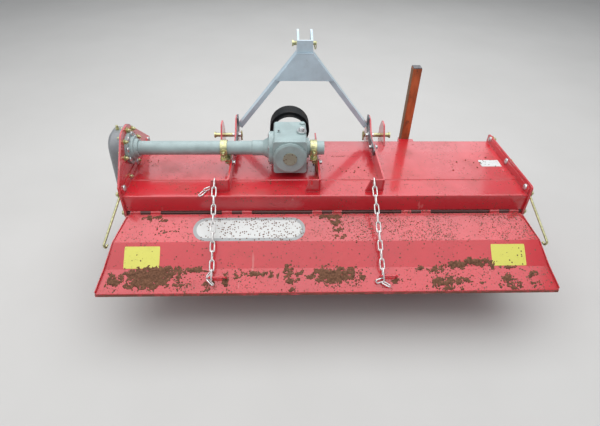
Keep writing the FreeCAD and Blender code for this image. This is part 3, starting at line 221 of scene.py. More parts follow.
def facing(direction, spin=0.0):
    """The turn that brings +Z to a direction, after a spin about it."""
    return Vector(direction).to_track_quat("Z", "Y").to_matrix().to_4x4() @ Matrix.Rotation(spin, 4, "Z")


def around(corners, count):
    """Points at even steps along an outline whose corners (u, v, radius) are rounded."""
    line = []
    for index, (u, v, radius) in enumerate(corners):
        spot_here = Vector((u, v))
        back = (Vector(corners[index - 1][:2]) - spot_here).normalized()
        ahead = (Vector(corners[(index + 1) % len(corners)][:2]) - spot_here).normalized()
        half = back.angle(ahead) / 2
        centre = spot_here + (back + ahead).normalized() * (radius / math.sin(half))
        start = spot_here + back * (radius / math.tan(half)) - centre
        end = spot_here + ahead * (radius / math.tan(half)) - centre
        for step in range(9):
            line.append(centre + start.lerp(end, step / 8).normalized() * radius)
    line.append(line[0])
    total = sum((b - a).length for a, b in zip(line, line[1:]))
    points, left = [], 0.0
    for before, after in zip(line, line[1:]):
        length = (after - before).length
        while left < length and len(points) < count:
            points.append(before.lerp(after, left / length))
            left += total / count
        left -= length
    return points


def repeat(model, places, name):
    """Copies of a model, each its own mesh moved to its place, joined into one piece.

    A place is (point, direction of the model's +Z, spin) and may end in a scale.
    """
    copies = []
    for point, direction, spin, *scale in places:
        take(model)
        bpy.ops.object.duplicate(linked=False)
        copy = bpy.context.object
        matrix = Matrix.Translation(point) @ facing(direction, spin)
        if scale:
            matrix = matrix @ Matrix.Diagonal((*([scale[0]] * 3), 1.0))
        copy.data.transform(matrix)
        copies.append(copy)
    bpy.data.objects.remove(model)
    return joined(copies, name)


def finish_piece(part, body, slot, finish, *replaced):
    """Gives a piece its finish and body; the slot argument is not used."""
    part.data.materials.clear()
    part.data.materials.append(finish)
    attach(part, body)
    if replaced:
        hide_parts(*replaced)
    return part


def hex_bolt(flats, head=None, washer=True, stub=0.0):
    """A bolt head on its washer, seated at the origin and rising along +Z."""
    head = head or flats * 0.62
    corner = flats / math.sqrt(3)
    thick = flats * 0.12 if washer else 0
    parts = []
    if washer:
        plate = rod(flats * 0.98, thick, 20, (0, 0, thick / 2))
        parts.append(soften(plate, thick * 0.3, 1))
    nut = rod(corner, head, 6, (0, 0, thick + head / 2))
    edit(nut, "FACE", lambda f: f.normal.z > 0.9)
    bpy.ops.mesh.inset(thickness=flats * 0.10)
    bpy.ops.transform.translate(value=(0, 0, head * 0.10))
    bpy.ops.mesh.inset(thickness=flats * 0.07)
    bpy.ops.transform.translate(value=(0, 0, -head * 0.06))
    close()
    parts.append(soften(nut, flats * 0.025, 1, 50))
    if stub:
        end = rod(flats * 0.31, stub, 14, (0, 0, thick + head + stub / 2))
        parts.append(soften(end, flats * 0.06, 1))
    return joined(parts, "bolt_model")


def coach_head(radius):
    """A low round head, seated at the origin and rising along +Z."""
    begin()
    bpy.ops.mesh.primitive_uv_sphere_add(segments=20, ring_count=10, radius=radius)
    head = bpy.context.object
    edit(head, "VERT", lambda v: True)
    bpy.ops.mesh.bisect(plane_co=(0, 0, radius * 0.2), plane_no=(0, 0, 1), clear_inner=True, use_fill=True)
    close()
    head.data.transform(Matrix.Translation((0, 0, -radius * 0.2)))
    head.data.transform(Matrix.Diagonal((1, 1, 0.62, 1)))
    take(head)
    bpy.ops.object.shade_smooth_by_angle(angle=math.radians(40))
    return joined([head], "coach_model")


def bent(points, radius, name, sides=10, turn_radius=0.006):
    """A round rod or wire along points in metres, with its corners rounded."""
    points = [Vector(point) for point in points]
    line = [points[0]]
    for before, corner, after in zip(points, points[1:], points[2:]):
        back = (before - corner).normalized()
        ahead = (after - corner).normalized()
        reach = min(turn_radius, (before - corner).length * 0.45, (after - corner).length * 0.45)
        start, end = corner + back * reach, corner + ahead * reach
        for step in range(7):
            t = step / 6
            line.append(start * (1 - t) ** 2 + corner * 2 * t * (1 - t) + end * t ** 2)
    line.append(points[-1])
    curve = bpy.data.curves.new(name, "CURVE")
    curve.dimensions = "3D"
    curve.bevel_depth = radius
    curve.bevel_resolution = max(1, sides // 4)
    curve.use_fill_caps = True
    spline = curve.splines.new("POLY")
    spline.points.add(len(line) - 1)
    for place, point in zip(spline.points, line):
        place.co = (*point, 1)
    part = bpy.data.objects.new(name, curve)
    bpy.context.scene.collection.objects.link(part)
    take(part)
    bpy.ops.object.convert(target="MESH")
    part = bpy.context.object
    bpy.ops.object.shade_smooth_by_angle(angle=math.radians(50))
    return part


def bead(start, end, radius, name, pitch=0.0055):
    """A weld along a seam: overlapping flattened drops."""
    start, end = Vector(start), Vector(end)
    way = end - start
    count = max(2, int(way.length / pitch))
    begin()
    bpy.ops.mesh.primitive_ico_sphere_add(subdivisions=1, radius=radius)
    drop = bpy.context.object
    drop.data.transform(Matrix.Diagonal((1.0, 1.0, 0.75, 1)))
    take(drop)
    bpy.ops.object.shade_smooth()
    places = []
    for index in range(count + 1):
        wobble = noise.noise_vector(Vector((index * 0.7, start.x * 9, start.z * 9))) * radius * 0.25
        places.append((start + way * (index / count) + wobble, way, index * 0.9))
    return repeat(drop, places, name)


# Shaders

class Wire:
    """A shader value: a sum written with it adds Math nodes."""

    def __init__(self, finish, socket):
        self.finish = finish
        self.socket = socket

    def maths(self, operation, *values, clamp=False):
        return self.finish.node(
            "ShaderNodeMath", {"operation": operation, "use_clamp": clamp}, dict(enumerate(values)))

    def __add__(self, other):
        return self.maths("ADD", self, other)

    def __sub__(self, other):
        return self.maths("SUBTRACT", self, other)

    def __mul__(self, other):
        return self.maths("MULTIPLY", self, other)

    def __truediv__(self, other):
        return self.maths("DIVIDE", self, other)

    def __pow__(self, other):
        return self.maths("POWER", self, other)

    def __radd__(self, other):
        return self.maths("ADD", other, self)

    def __rsub__(self, other):
        return self.maths("SUBTRACT", other, self)

    def __rmul__(self, other):
        return self.maths("MULTIPLY", other, self)

    def __rtruediv__(self, other):
        return self.maths("DIVIDE", other, self)

    def ramp(self, low, high):
        """0 below low, 1 above high, and smooth between."""
        return self.finish.node(
            "ShaderNodeMapRange", {"interpolation_type": "SMOOTHSTEP"},
            {"Value": self, "From Min": low, "From Max": high, "To Min": 0.0, "To Max": 1.0})

    def clamped(self):
        return self.maths("ADD", self, 0.0, clamp=True)

    def higher(self, other):
        return self.maths("MAXIMUM", self, other)

    def lower(self, other):
        return self.maths("MINIMUM", self, other)


class Finish:
    """A node material that is written as Python expressions."""

    def __init__(self, name, **fixed):
        self.material = bpy.data.materials.new(name)
        self.material.use_nodes = True
        self.tree = self.material.node_tree
        self.tree.nodes.clear()
        self.output = self.tree.nodes.new("ShaderNodeOutputMaterial")
        self.shader = self.tree.nodes.new("ShaderNodeBsdfPrincipled")
        self.tree.links.new(self.shader.outputs[0], self.output.inputs["Surface"])
        for socket, value in fixed.items():
            self.shader.inputs[socket.replace("_", " ")].default_value = value
        self.place = self.node("ShaderNodeTexCoord", {}, {}, "Object")
        axes = self.tree.nodes.new("ShaderNodeSeparateXYZ")
        self.tree.links.new(self.place.socket, axes.inputs[0])
        self.x, self.y, self.z = (Wire(self, axes.outputs[index]) for index in range(3))

    def node(self, kind, settings, inputs, output=0):
        """Any node, from its type, its settings, and the values or links of its sockets."""
        node = self.tree.nodes.new(kind)
        for name, value in settings.items():
            if name == "stops":
                while len(node.color_ramp.elements) < len(value):
                    node.color_ramp.elements.new(0.5)
                for element, (position, stop) in zip(node.color_ramp.elements, value):
                    element.position = position
                    element.color = stop
            else:
                setattr(node, name, value)
        for name, value in inputs.items():
            if isinstance(value, Wire):
                self.tree.links.new(value.socket, node.inputs[name])
            else:
                node.inputs[name].default_value = value
        return Wire(self, node.outputs[output])

    def grain(self, scale, detail=3.0, rough=0.55, stretch=None, output=0):
        """Noise on object coordinates, which may be stretched along the axes."""
        where = self.place
        if stretch:
            where = self.node("ShaderNodeMapping", {}, {"Vector": where, "Scale": stretch})
        return self.node("ShaderNodeTexNoise", {}, {
            "Vector": where, "Scale": scale, "Detail": detail, "Roughness": rough}, output)

    def cells(self, scale, output="Distance", feature="F1"):
        return self.node("ShaderNodeTexVoronoi", {"feature": feature}, {
            "Vector": self.place, "Scale": scale}, output)

    def specks(self, scale, size, share):
        """Round dots in some cells of a random grid, with the share of the cells that have one."""
        near = self.node("ShaderNodeTexVoronoi", {}, {"Vector": self.place, "Scale": scale})
        chance = Wire(self, near.socket.node.outputs["Color"])
        pick = self.node("ShaderNodeSeparateXYZ", {}, {0: chance}, 0)
        return near.ramp(size, size * 0.7) * (share - pick).ramp(0.0, 0.01)

    def mix(self, share, first, second):
        """A colour between two."""
        return self.node("ShaderNodeMix", {"data_type": "RGBA"}, {0: share, 6: first, 7: second}, 2)

    def bump(self, height, strength=0.3, distance=0.001, under=None):
        inputs = {"Height": height, "Strength": strength, "Distance": distance}
        if under:
            inputs["Normal"] = under
        return self.node("ShaderNodeBump", {}, inputs)

    def looks(self, axis):
        """How far a face looks along an axis, from -1 to 1."""
        normal = self.node("ShaderNodeNewGeometry", {}, {}, "Normal")
        return self.node("ShaderNodeSeparateXYZ", {}, {0: normal}, axis)

    def upward(self):
        """How far a face looks up."""
        return self.looks(2)

    def edges(self, radius=0.003):
        """A mask of the sharp edges, where paint rubs off and where a painted highlight stands in for the light a
        rounded edge would catch.
        """
        rounded = self.node("ShaderNodeBevel", {"samples": 6}, {"Radius": radius})
        normal = self.node("ShaderNodeNewGeometry", {}, {}, "Normal")
        same = self.node("ShaderNodeVectorMath", {"operation": "DOT_PRODUCT"}, {0: rounded, 1: normal}, 1)
        return (1.0 - same).ramp(0.02, 0.22)

    def give(self, **links):
        """Links values to the shader's sockets."""
        for socket, value in links.items():
            self.tree.links.new(value.socket, self.shader.inputs[socket.replace("_", " ")])
        return self.material


def tint(value, share):
    """A colour made lighter or darker."""
    return (*(max(0.0, min(1.0, part * share)) for part in value[:3]), 1.0)


def red_enamel(name, dust=0.25, marks=None, scuffs=0.5):
    """Gloss red over folded steel, with dust, specks, scuffs and rubbed edges, whose lighter colour is also a
    painted highlight.
    """
    made = Finish(name, IOR=1.5, Coat_Roughness=0.10, Coat_IOR=1.5)
    red = colour("red")
    patchy = made.grain(2.3, 4.0, 0.6)
    base = made.mix(patchy.ramp(0.35, 0.7), tint(red, 0.90), tint(red, 1.06))
    faded = made.grain(9.0, 5.0, 0.7).ramp(0.56, 0.80) * 0.22
    base = made.mix(faded, base, (0.74, 0.10, 0.10, 1))
    scratch = made.grain(38.0, 2.0, 0.5, (1.0, 0.06, 0.3)).ramp(0.66, 0.70)
    scratch = scratch * made.grain(4.0, 2.0).ramp(0.55, 0.68) * scuffs
    base = made.mix(scratch, base, (0.62, 0.22, 0.20, 1))
    # Lighter edges: rubbed paint, and a painted highlight in place of the light that a rounded edge would catch.
    worn = made.edges(0.0028) * made.grain(24.0, 3.0, 0.7).ramp(0.36, 0.62)
    base = made.mix(worn * 0.75, base, (0.66, 0.40, 0.38, 1))
    film = made.grain(5.0, 6.0, 0.72).ramp(0.44, 0.76) * made.upward().ramp(0.1, 0.8) * dust
    streaky = made.grain(11.0, 4.0, 0.7).ramp(0.42, 0.66)
    dots = made.specks(120.0, 0.38, streaky * dust * 0.90)
    if marks:
        dots = dots.higher(marks(made))
    soil = (film * 0.8 + dots).clamped()
    base = made.mix(soil, base, made.mix(made.grain(60.0, 4.0), tint(colour("earth"), 0.55),
                                        tint(colour("earth"), 1.15)))
    rough = 0.24 + patchy * 0.08 + soil * 0.45 + worn * 0.2
    peel = made.bump(made.grain(420.0, 1.0, 0.4), 0.04, 0.0004)
    caked = made.bump(made.grain(170.0, 5.0, 0.75) * soil, 0.5, 0.002, peel)
    return made.give(Base_Color=base, Roughness=rough.clamped(), Coat_Weight=(0.9 - soil).clamped(),
                     Normal=caked)


# Heights of the tail board's creases and of its lip, for the marks on it.
FIRST_CREASE, SECOND_CREASE, BOARD_FOOT = (LIP.z + height / 1000 for height in (-52.5, -125.0, -178.0))


def board_marks(made):
    """Earth on the tail board: fine specks on its upper and low facets, smears, and a soiled lip."""
    upper = (made.z - FIRST_CREASE).ramp(-0.001, 0.001)
    low = (SECOND_CREASE - made.z).ramp(-0.001, 0.004)
    right = made.x.ramp(-0.55, 0.10)
    uneven = made.grain(7.0, 4.0, 0.65).ramp(0.34, 0.66)
    share = 0.03 + upper * (0.16 + right * 0.80) * uneven + low * 0.26 * uneven
    fine = made.specks(210.0, 0.42, share)
    coarse = made.specks(108.0, 0.42, share * 0.80)
    smear = made.grain(26.0, 5.0, 0.75).ramp(0.60, 0.70) * made.grain(5.0, 3.0).ramp(0.5, 0.62)
    lip = (BOARD_FOOT - made.z).ramp(-0.002, 0.007) * made.grain(30.0, 4.0, 0.7).ramp(0.30, 0.55)
    return fine.higher(coarse).higher(smear * (low * 0.5 + 0.12)).higher(lip * 0.9)


def cast_paint(name, grey, rough_scale=150.0, depth=0.30, dirt_and_shade=0.5):
    """Grey paint over a rough casting, with dirt specks and patchy painted shade on the faces that look down."""
    made = Finish(name, IOR=1.48, Coat_Roughness=0.25)
    patchy = made.grain(14.0, 4.0, 0.6)
    base = made.mix(patchy.ramp(0.3, 0.7), tint(grey, 0.86), tint(grey, 1.10))
    # Lighter edges: rubbed paint, and a painted highlight in place of the light that a rounded edge would catch.
    worn = made.edges(0.0025) * made.grain(55.0, 3.0, 0.7).ramp(0.42, 0.60)
    base = made.mix(worn * 0.6, base, (0.60, 0.63, 0.63, 1))
    # Painted shade: faces that look down are darkened, in patches, towards dark brown.
    painted_underside_shade = (0.35 - made.upward()).ramp(0.0, 0.9) * made.grain(23.0, 5.0, 0.75).ramp(0.38, 0.66)
    specks = made.grain(95.0, 3.0, 0.8).ramp(0.62, 0.72)
    # The soil mask holds the dirt specks and that painted shade together, scaled by the last argument.
    soil = (painted_underside_shade * 0.75 + specks * 0.55).clamped() * dirt_and_shade
    base = made.mix(soil, base, (0.105, 0.070, 0.048, 1))
    rough = 0.38 + patchy * 0.12 + soil * 0.35
    skin = made.grain(rough_scale, 4.0, 0.65)
    normal = made.bump(skin, depth, 0.0011)
    return made.give(Base_Color=base, Roughness=rough.clamped(), Coat_Weight=(0.35 - soil).clamped(),
                     Normal=normal)


def frame_enamel():
    """Smooth blue-grey enamel with scuffs and lighter edges that are rubbed paint and painted highlight, as on the
    head frame.
    """
    made = Finish("blue_grey_enamel", IOR=1.5, Coat_Roughness=0.14)
    grey = colour("frame_blue")
    patchy = made.grain(6.0, 4.0, 0.6)
    base = made.mix(patchy.ramp(0.3, 0.7), tint(grey, 0.85), tint(grey, 1.10))
    # Lighter edges: rubbed paint, and a painted highlight in place of the light that a rounded edge would catch.
    worn = made.edges(0.0025) * made.grain(40.0, 3.0, 0.7).ramp(0.38, 0.58)
    base = made.mix(worn * 0.9, base, (0.70, 0.74, 0.76, 1))
    grime = made.grain(19.0, 5.0, 0.75).ramp(0.56, 0.76) * 0.25
    base = made.mix(grime, base, (0.13, 0.10, 0.08, 1))
    rough = 0.30 + patchy * 0.1 + grime * 0.35
    normal = made.bump(made.grain(240.0, 2.0, 0.5), 0.08, 0.0006)
    return made.give(Base_Color=base, Roughness=rough.clamped(), Coat_Weight=(0.5 - grime).clamped(),
                     Normal=normal)


def plated(name, base, dull, stain, stain_colour=(0.16, 0.085, 0.045, 1)):
    """Zinc plate: cloudy metal with stains in its hollows."""
    made = Finish(name, Metallic=0.9, IOR=1.6)
    cloud = made.grain(48.0, 4.0, 0.65)
    tone = made.mix(cloud.ramp(0.32, 0.68), tint(base, 0.72), tint(base, 1.12))
    soil = made.grain(120.0, 4.0, 0.75).ramp(0.50, 0.70) * stain
    tone = made.mix(soil, tone, stain_colour)
    rough = dull + cloud * 0.14 + soil * 0.4
    normal = made.bump(made.grain(600.0, 2.0, 0.6), 0.12, 0.0004)
    return made.give(Base_Color=tone, Roughness=rough.clamped(), Metallic=(0.9 - soil).clamped(),
                     Normal=normal)


def forged(name):
    """Dark forged steel polished by the ground, with earth packed near the shaft."""
    made = Finish(name, IOR=1.5)
    across = made.y - (LIP.y + 0.225)
    down = made.z - (LIP.z - 0.185)
    out = (across * across + down * down) ** 0.5
    tip = out.ramp(0.15, 0.235)
    scale = made.grain(34.0, 5.0, 0.7)
    steel = made.mix(scale.ramp(0.35, 0.65), (0.055, 0.050, 0.047, 1), (0.12, 0.105, 0.095, 1))
    steel = made.mix(tip * 0.75, steel, (0.34, 0.33, 0.32, 1))
    soil = made.grain(21.0, 5.0, 0.75).ramp(0.44, 0.62) * (1.0 - tip * 0.75)
    tone = made.mix(soil * 0.85, steel, colour("earth"))
    rough = 0.42 + soil * 0.4 - tip * 0.12
    normal = made.bump(made.grain(120.0, 5.0, 0.75), 0.45, 0.0016)
    return made.give(Base_Color=tone, Roughness=rough.clamped(), Metallic=(0.85 - soil).clamped(),
                     Normal=normal)


def weathered_orange():
    """Orange paint that has rusted through, with painted shade on the faces that look towards -X."""
    made = Finish("weathered_orange", IOR=1.45)
    orange = colour("orange")
    patchy = made.grain(12.0, 5.0, 0.7, (1.0, 1.0, 0.35))
    base = made.mix(patchy.ramp(0.36, 0.66), tint(orange, 0.62), tint(orange, 1.25))
    rust = made.grain(34.0, 5.0, 0.75, (1.0, 1.0, 0.5)).ramp(0.54, 0.66)
    base = made.mix(rust * 0.8, base, (0.10, 0.042, 0.022, 1))
    # Painted shade: the faces that look towards -X are darkened, in patches, to a dark brown.
    painted_side_shade = (0.0 - made.looks(0)).ramp(0.4, 0.9) * made.grain(20.0, 4.0, 0.7, (1.0, 1.0, 0.3)).ramp(0.2, 0.5)
    base = made.mix(painted_side_shade * 0.85, base, (0.16, 0.105, 0.055, 1))
    # Lighter edges: rubbed paint, and a painted highlight in place of the light that a rounded edge would catch.
    worn = made.edges(0.003) * made.grain(30.0, 3.0).ramp(0.4, 0.6)
    base = made.mix(worn * 0.7, base, (0.30, 0.22, 0.17, 1))
    rough = 0.55 + patchy * 0.15 + rust * 0.2
    normal = made.bump(made.grain(130.0, 5.0, 0.7) + rust * 0.4, 0.3, 0.0012)
    return made.give(Base_Color=base, Roughness=rough.clamped(), Normal=normal)


def guard_plastic():
    """Matt black plastic with a dusty bloom."""
    made = Finish("guard_plastic", IOR=1.33, Specular_IOR_Level=0.35)
    dust = made.grain(16.0, 5.0, 0.75).ramp(0.46, 0.72) * made.upward().ramp(-0.2, 0.9)
    base = made.mix(dust * 0.35, (0.007, 0.008, 0.009, 1), (0.13, 0.105, 0.09, 1))
    # Lighter edges: rubbed paint, and a painted highlight in place of the light that a rounded edge would catch.
    worn = made.edges(0.002) * made.grain(70.0, 3.0).ramp(0.4, 0.6)
    base = made.mix(worn * 0.5, base, (0.12, 0.12, 0.12, 1))
    normal = made.bump(made.grain(310.0, 3.0, 0.6), 0.2, 0.0006)
    return made.give(Base_Color=base, Roughness=(0.56 + dust * 0.3).clamped(), Normal=normal)


def bare_steel(name="bare_steel"):
    """Machined steel with a little rust."""
    made = Finish(name, Metallic=1.0)
    turned = made.grain(400.0, 2.0, 0.5, (1.0, 0.08, 1.0))
    rust = made.grain(60.0, 5.0, 0.75).ramp(0.55, 0.68)
    tone = made.mix(turned.ramp(0.3, 0.7), (0.34, 0.34, 0.33, 1), (0.52, 0.51, 0.49, 1))
    tone = made.mix(rust * 0.8, tone, (0.15, 0.07, 0.035, 1))
    normal = made.bump(turned, 0.12, 0.0004)
    return made.give(Base_Color=tone, Roughness=(0.28 + rust * 0.45).clamped(),
                     Metallic=(1.0 - rust * 0.8).clamped(), Normal=normal)


def earth(name="dry_earth"):
    """Dry red earth, crumbly and dull."""
    made = Finish(name, IOR=1.35)
    soil = colour("earth")
    lumps = made.grain(85.0, 6.0, 0.75)
    tone = made.mix(lumps.ramp(0.3, 0.7), tint(soil, 0.62), tint(soil, 1.55))
    stones = made.cells(240.0).ramp(0.32, 0.12) * made.grain(30.0).ramp(0.5, 0.65)
    tone = made.mix(stones * 0.35, tone, (0.36, 0.21, 0.13, 1))
    normal = made.bump(lumps + made.grain(420.0, 4.0, 0.8) * 0.5, 0.8, 0.004)
    return made.give(Base_Color=tone, Roughness=(0.88 + lumps * 0.1).clamped(), Normal=normal)


def film(name, face, fade=0.3, splashed=0.12):
    """A blank printed film: its colour, scuffs and dried splashes."""
    made = Finish(name, IOR=1.45, Coat_Roughness=0.2)
    rub = made.grain(36.0, 5.0, 0.75).ramp(0.50, 0.74) * fade
    base = made.mix(rub, face, tint(face, 0.72))
    splash = made.grain(75.0, 5.0, 0.8).ramp(0.60, 0.68) * made.grain(9.0, 3.0).ramp(0.44, 0.6)
    dots = made.specks(108.0, 0.42, made.grain(9.0, 3.0).ramp(0.30, 0.60) * splashed)
    soil = (splash * 0.75).higher(dots)
    base = made.mix(soil, base, tint(colour("earth"), 0.8))
    normal = made.bump(made.grain(90.0, 3.0, 0.6), 0.06, 0.0005)
    return made.give(Base_Color=base, Roughness=(0.36 + rub * 0.3 + soil * 0.4).clamped(),
                     Coat_Weight=(0.4 - soil).clamped(), Normal=normal)


FINISHES = {}


def finish(name):
    """The finish of that name, made once."""
    makers = {
        "deck_red": lambda: red_enamel("deck_red", 0.42),
        "board_red": lambda: red_enamel("board_red", 0.22, board_marks),
        "plate_red": lambda: red_enamel("plate_red", 0.35, None, 0.8),
        # A cast paint's last argument scales its dirt specks and its painted shade on down-facing faces.
        "cast_grey": lambda: cast_paint("cast_grey", colour("cast")),
        "tube_grey": lambda: cast_paint("tube_grey", colour("cast"), 260.0, 0.10, 0.35),
        "case_grey": lambda: cast_paint("case_grey", colour("case"), 110.0, 0.35, 0.95),
        # Painted shadow with some soil: a near-black red for the hinge, so that the gap under the lip shows as one
        # dark line.
        "shadow_and_soil_red": lambda: film("shadow_and_soil_red", (0.085, 0.016, 0.014, 1), 0.5, 0.5),
        "blue_grey": frame_enamel,
        "yellow_zinc": lambda: plated("yellow_zinc", colour("zinc"), 0.30, 0.55),
        "galvanised": lambda: plated("galvanised", (0.66, 0.66, 0.65, 1), 0.34, 0.45),
        "silver": lambda: plated("silver", (0.62, 0.63, 0.63, 1), 0.28, 0.35),
        "chain": lambda: plated("chain_zinc", (0.86, 0.86, 0.84, 1), 0.40, 0.30),
        "guard": guard_plastic,
        "orange": weathered_orange,
        "forged": lambda: forged("forged_steel"),
        "steel": bare_steel,
        "earth": earth,
        "yellow_film": lambda: film("yellow_film", colour("label")),
        "pale_film": lambda: film("pale_film", (0.56, 0.57, 0.55, 1), 0.25, 0.72),
        "white_film": lambda: film("white_film", (0.60, 0.61, 0.60, 1), 0.4, 0.25),
        "grey_film": lambda: film("grey_film", (0.30, 0.31, 0.31, 1), 0.3, 0.60),
        "worn_olive": lambda: film("worn_olive", (0.26, 0.25, 0.18, 1), 0.8),
        "dark_steel": lambda: plated("dark_steel", (0.17, 0.17, 0.18, 1), 0.42, 0.45),
    }
    if name not in FINISHES:
        FINISHES[name] = makers[name]()
    return FINISHES[name]


CAD_FINISHES = {
    "deck": "deck_red", "front_beam": "plate_red", "side_plate_left": "plate_red",
    "side_plate_right": "plate_red", "skid_left": "plate_red", "skid_right": "plate_red",
    "gear_case_cover": "case_grey", "gear_case_plug": "yellow_zinc", "tube_flange": "cast_grey",
    "cross_tube": "tube_grey", "tube_stub": "tube_grey", "gearbox_housing": "cast_grey",
    "gearbox_rear_cover": "cast_grey", "input_shaft": "steel", "shaft_guard": "guard",
    "tube_clamps": "yellow_zinc", "bracket_left": "plate_red", "bracket_right": "plate_red",
    "bracket_middle": "plate_red", "hitch_outer_cheeks": "plate_red", "lower_hitch_pins": "yellow_zinc",
    "head_frame_leg_left": "blue_grey", "head_frame_leg_right": "blue_grey",
    "head_frame_gusset": "blue_grey", "head_frame_feet": "dark_steel", "top_hitch_fork": "blue_grey",
    # The hinge's rod and leaves take the near-black red that paints the shadow in the gap under the lip.
    "top_hitch_pin": "yellow_zinc", "tail_board": "board_red", "hinge_rod": "shadow_and_soil_red",
    "hinge_leaves": "shadow_and_soil_red", "rotor_shaft": "forged", "rotor_tines": "forged",
    "rotor_bearing_hubs": "cast_grey", "rotor_bearing_cap": "cast_grey", "stand_sleeve": "plate_red",
    "stand_leg": "orange", "chain_left": "chain", "chain_right": "chain", "side_rods": "yellow_zinc",
}


class PaintCadNodes(bpy.types.Operator):
    """Gives every node of the solid model its finish."""
    bl_idname = "tiller.paint_nodes"
    bl_label = "Paint the solid model"

    def execute(self, context):
        missing = set(NODES) ^ set(CAD_FINISHES)
        if missing:
            raise RuntimeError("no finish for %s" % sorted(missing))
        for name, part in NODES.items():
            part.data.materials.clear()
            part.data.materials.append(finish(CAD_FINISHES[name]))
            take(part)
            bpy.ops.object.shade_smooth_by_angle(angle=math.radians(30))
        begin()
        return {"FINISHED"}


# Pieces

OUT_LEFT, OUT_RIGHT, UP, BACK, AHEAD = (-1, 0, 0), (1, 0, 0), (0, 0, 1), (0, -1, 0), (0, 1, 0)


# Where bolts sit, forward and up in millimetres.
END_BOLTS = [(38.0, 99.0), (254.0, 99.0), (468.0, 99.0)]
CASE_STUDS = [(133, 98), (136, 191), (174, 251), (235, 276), (297, 252), (338, 186), (269, 98)]
CASE_RIM = [(146.5, 283.5, 76.5), (323.5, 283.5, 76.5), (365.5, -325.5, 128.5), (84.5, -325.5, 128.5)]
SKID_BOLTS = [(70.0, -384.0), (232.0, -378.0), (394.0, -384.0)]
ROTOR_AXIS = (225.0, -185.0)


def bolt_circle(x, centre, radius, count, direction, turn=0.5):
    """Places on a circle round an axis along X."""
    places = []
    for index in range(count):
        angle = math.tau * (index + turn) / count
        point = spot(x, centre[0] + radius * math.cos(angle), centre[1] + radius * math.sin(angle))
        places.append((point, direction, index))
    return places


class AddBodyBolts(bpy.types.Operator):
    """Bolts that hold the side plates, cross tube and gear case."""
    bl_idname = "tiller.body_bolts"
    bl_label = "Body bolts"

    def execute(self, context):
        flats = sizes().bolt
        heads, nuts = [], []
        for side in (-1, 1):
            for y, z in END_BOLTS:
                heads.append((spot(side * (PLATE_IN - 4), y, z), (-side, 0, 0), 0.3 * y))
                nuts.append((spot(side * PLATE_OUT, y, z), (side, 0, 0), 0.2 * y))
        piece = repeat(coach_head(0.0145), heads, "coach_bolts")
        finish_piece(piece, "frame", "galvanised", finish("silver"))

        piece = repeat(hex_bolt(flats, stub=0.006), nuts, "end_nuts")
        finish_piece(piece, "frame", "yellow_zinc", finish("yellow_zinc"))

        ring = bolt_circle(-886, DRIVE, 63, 8, OUT_RIGHT)
        ring += bolt_circle(-262, DRIVE, 65, 6, OUT_LEFT)
        piece = repeat(coach_head(0.0115), ring, "tube_flange_bolts")
        finish_piece(piece, "frame", "galvanised", finish("silver"))

        studs = [(spot(-PLATE_IN, y, z), OUT_RIGHT, y) for y, z in CASE_STUDS]
        piece = repeat(hex_bolt(0.015, 0.010, stub=0.006), studs, "gear_case_nuts")
        finish_piece(piece, "frame", "yellow_zinc", finish("yellow_zinc"))

        rim = [(spot(-918, y, z), OUT_LEFT, y * 0.1) for y, z in around(CASE_RIM, 22)]
        piece = repeat(hex_bolt(0.010, washer=False), rim, "gear_case_rim_bolts")
        finish_piece(piece, "frame", "yellow_zinc", finish("yellow_zinc"))

        low = [(spot(side * (PLATE_OUT + 6), y, z), (side, 0, 0), y) for side in (-1, 1) for y, z in SKID_BOLTS]
        low += bolt_circle(919.5, ROTOR_AXIS, 57, 6, OUT_RIGHT)
        piece = repeat(hex_bolt(0.017), low, "low_bolts")
        finish_piece(piece, "frame", "galvanised", finish("silver"))
        return {"FINISHED"}


class AddGearboxDetails(bpy.types.Operator):
    """The gearbox's filler plug, its cast bosses, a set screw and the worn cap behind."""
    bl_idname = "tiller.gearbox_details"
    bl_label = "Gearbox details"

    def execute(self, context):
        top = DRIVE[1] + 80
        boss = rod(0.023, 0.008, 36, spot(-114, 222, top + 3))
        soften(boss, 0.003, 3)
        corner = rod(0.013, 0.009, 32, spot(-109, 304, top + 2))
        soften(corner, 0.004, 3)
        eye = rod(0.008, 0.006, 24, spot(-218, 224, top + 1))
        soften(eye, 0.0015, 2)
        finish_piece(joined([boss, corner, eye], "casting_bosses"), "frame", "grey_cast", finish("cast_grey"))
        plug = repeat(hex_bolt(0.022, 0.011), [(spot(-114, 222, top + 7), UP, 0.2)], "filler_plug")
        finish_piece(plug, "frame", "galvanised", finish("silver"))
        screw = repeat(hex_bolt(0.008, 0.004, False), [(spot(-218, 224, top + 4), UP, 0.4)], "set_screw")
        finish_piece(screw, "frame", "grey_cast", finish("dark_steel"))

        cap = rod(0.032, 0.003, 48, spot(GEARBOX_X, 118.6, DRIVE[1]), (math.pi / 2, 0, 0))
        edit(cap, "FACE", lambda f: f.normal.y < -0.9)
        bpy.ops.mesh.inset(thickness=0.003)
        bpy.ops.mesh.inset(thickness=0.004)
        bpy.ops.transform.translate(value=(0, 0.0006, 0))
        close()
        soften(cap, 0.0009, 2)
        finish_piece(joined([cap], "worn_cap"), "frame", "grey_cast", finish("worn_olive"))
        return {"FINISHED"}


# Each clamp: the middle of its strap and the bracket's left face that carries it.
CLAMPS = [(-470.0, -443.0), (-58.0, -39.0)]
CLAMP_OUTSIDE = 37.0
# The foot straps' bolts, forward and up, and each strap's inner and its bracket's outer face.
FOOT_BOLTS = [(330.0, 133.0), (446.0, 138.0)]
FOOT_STRAPS = [(-429.0, -443.0, 1), (239.0, 253.0, -1)]


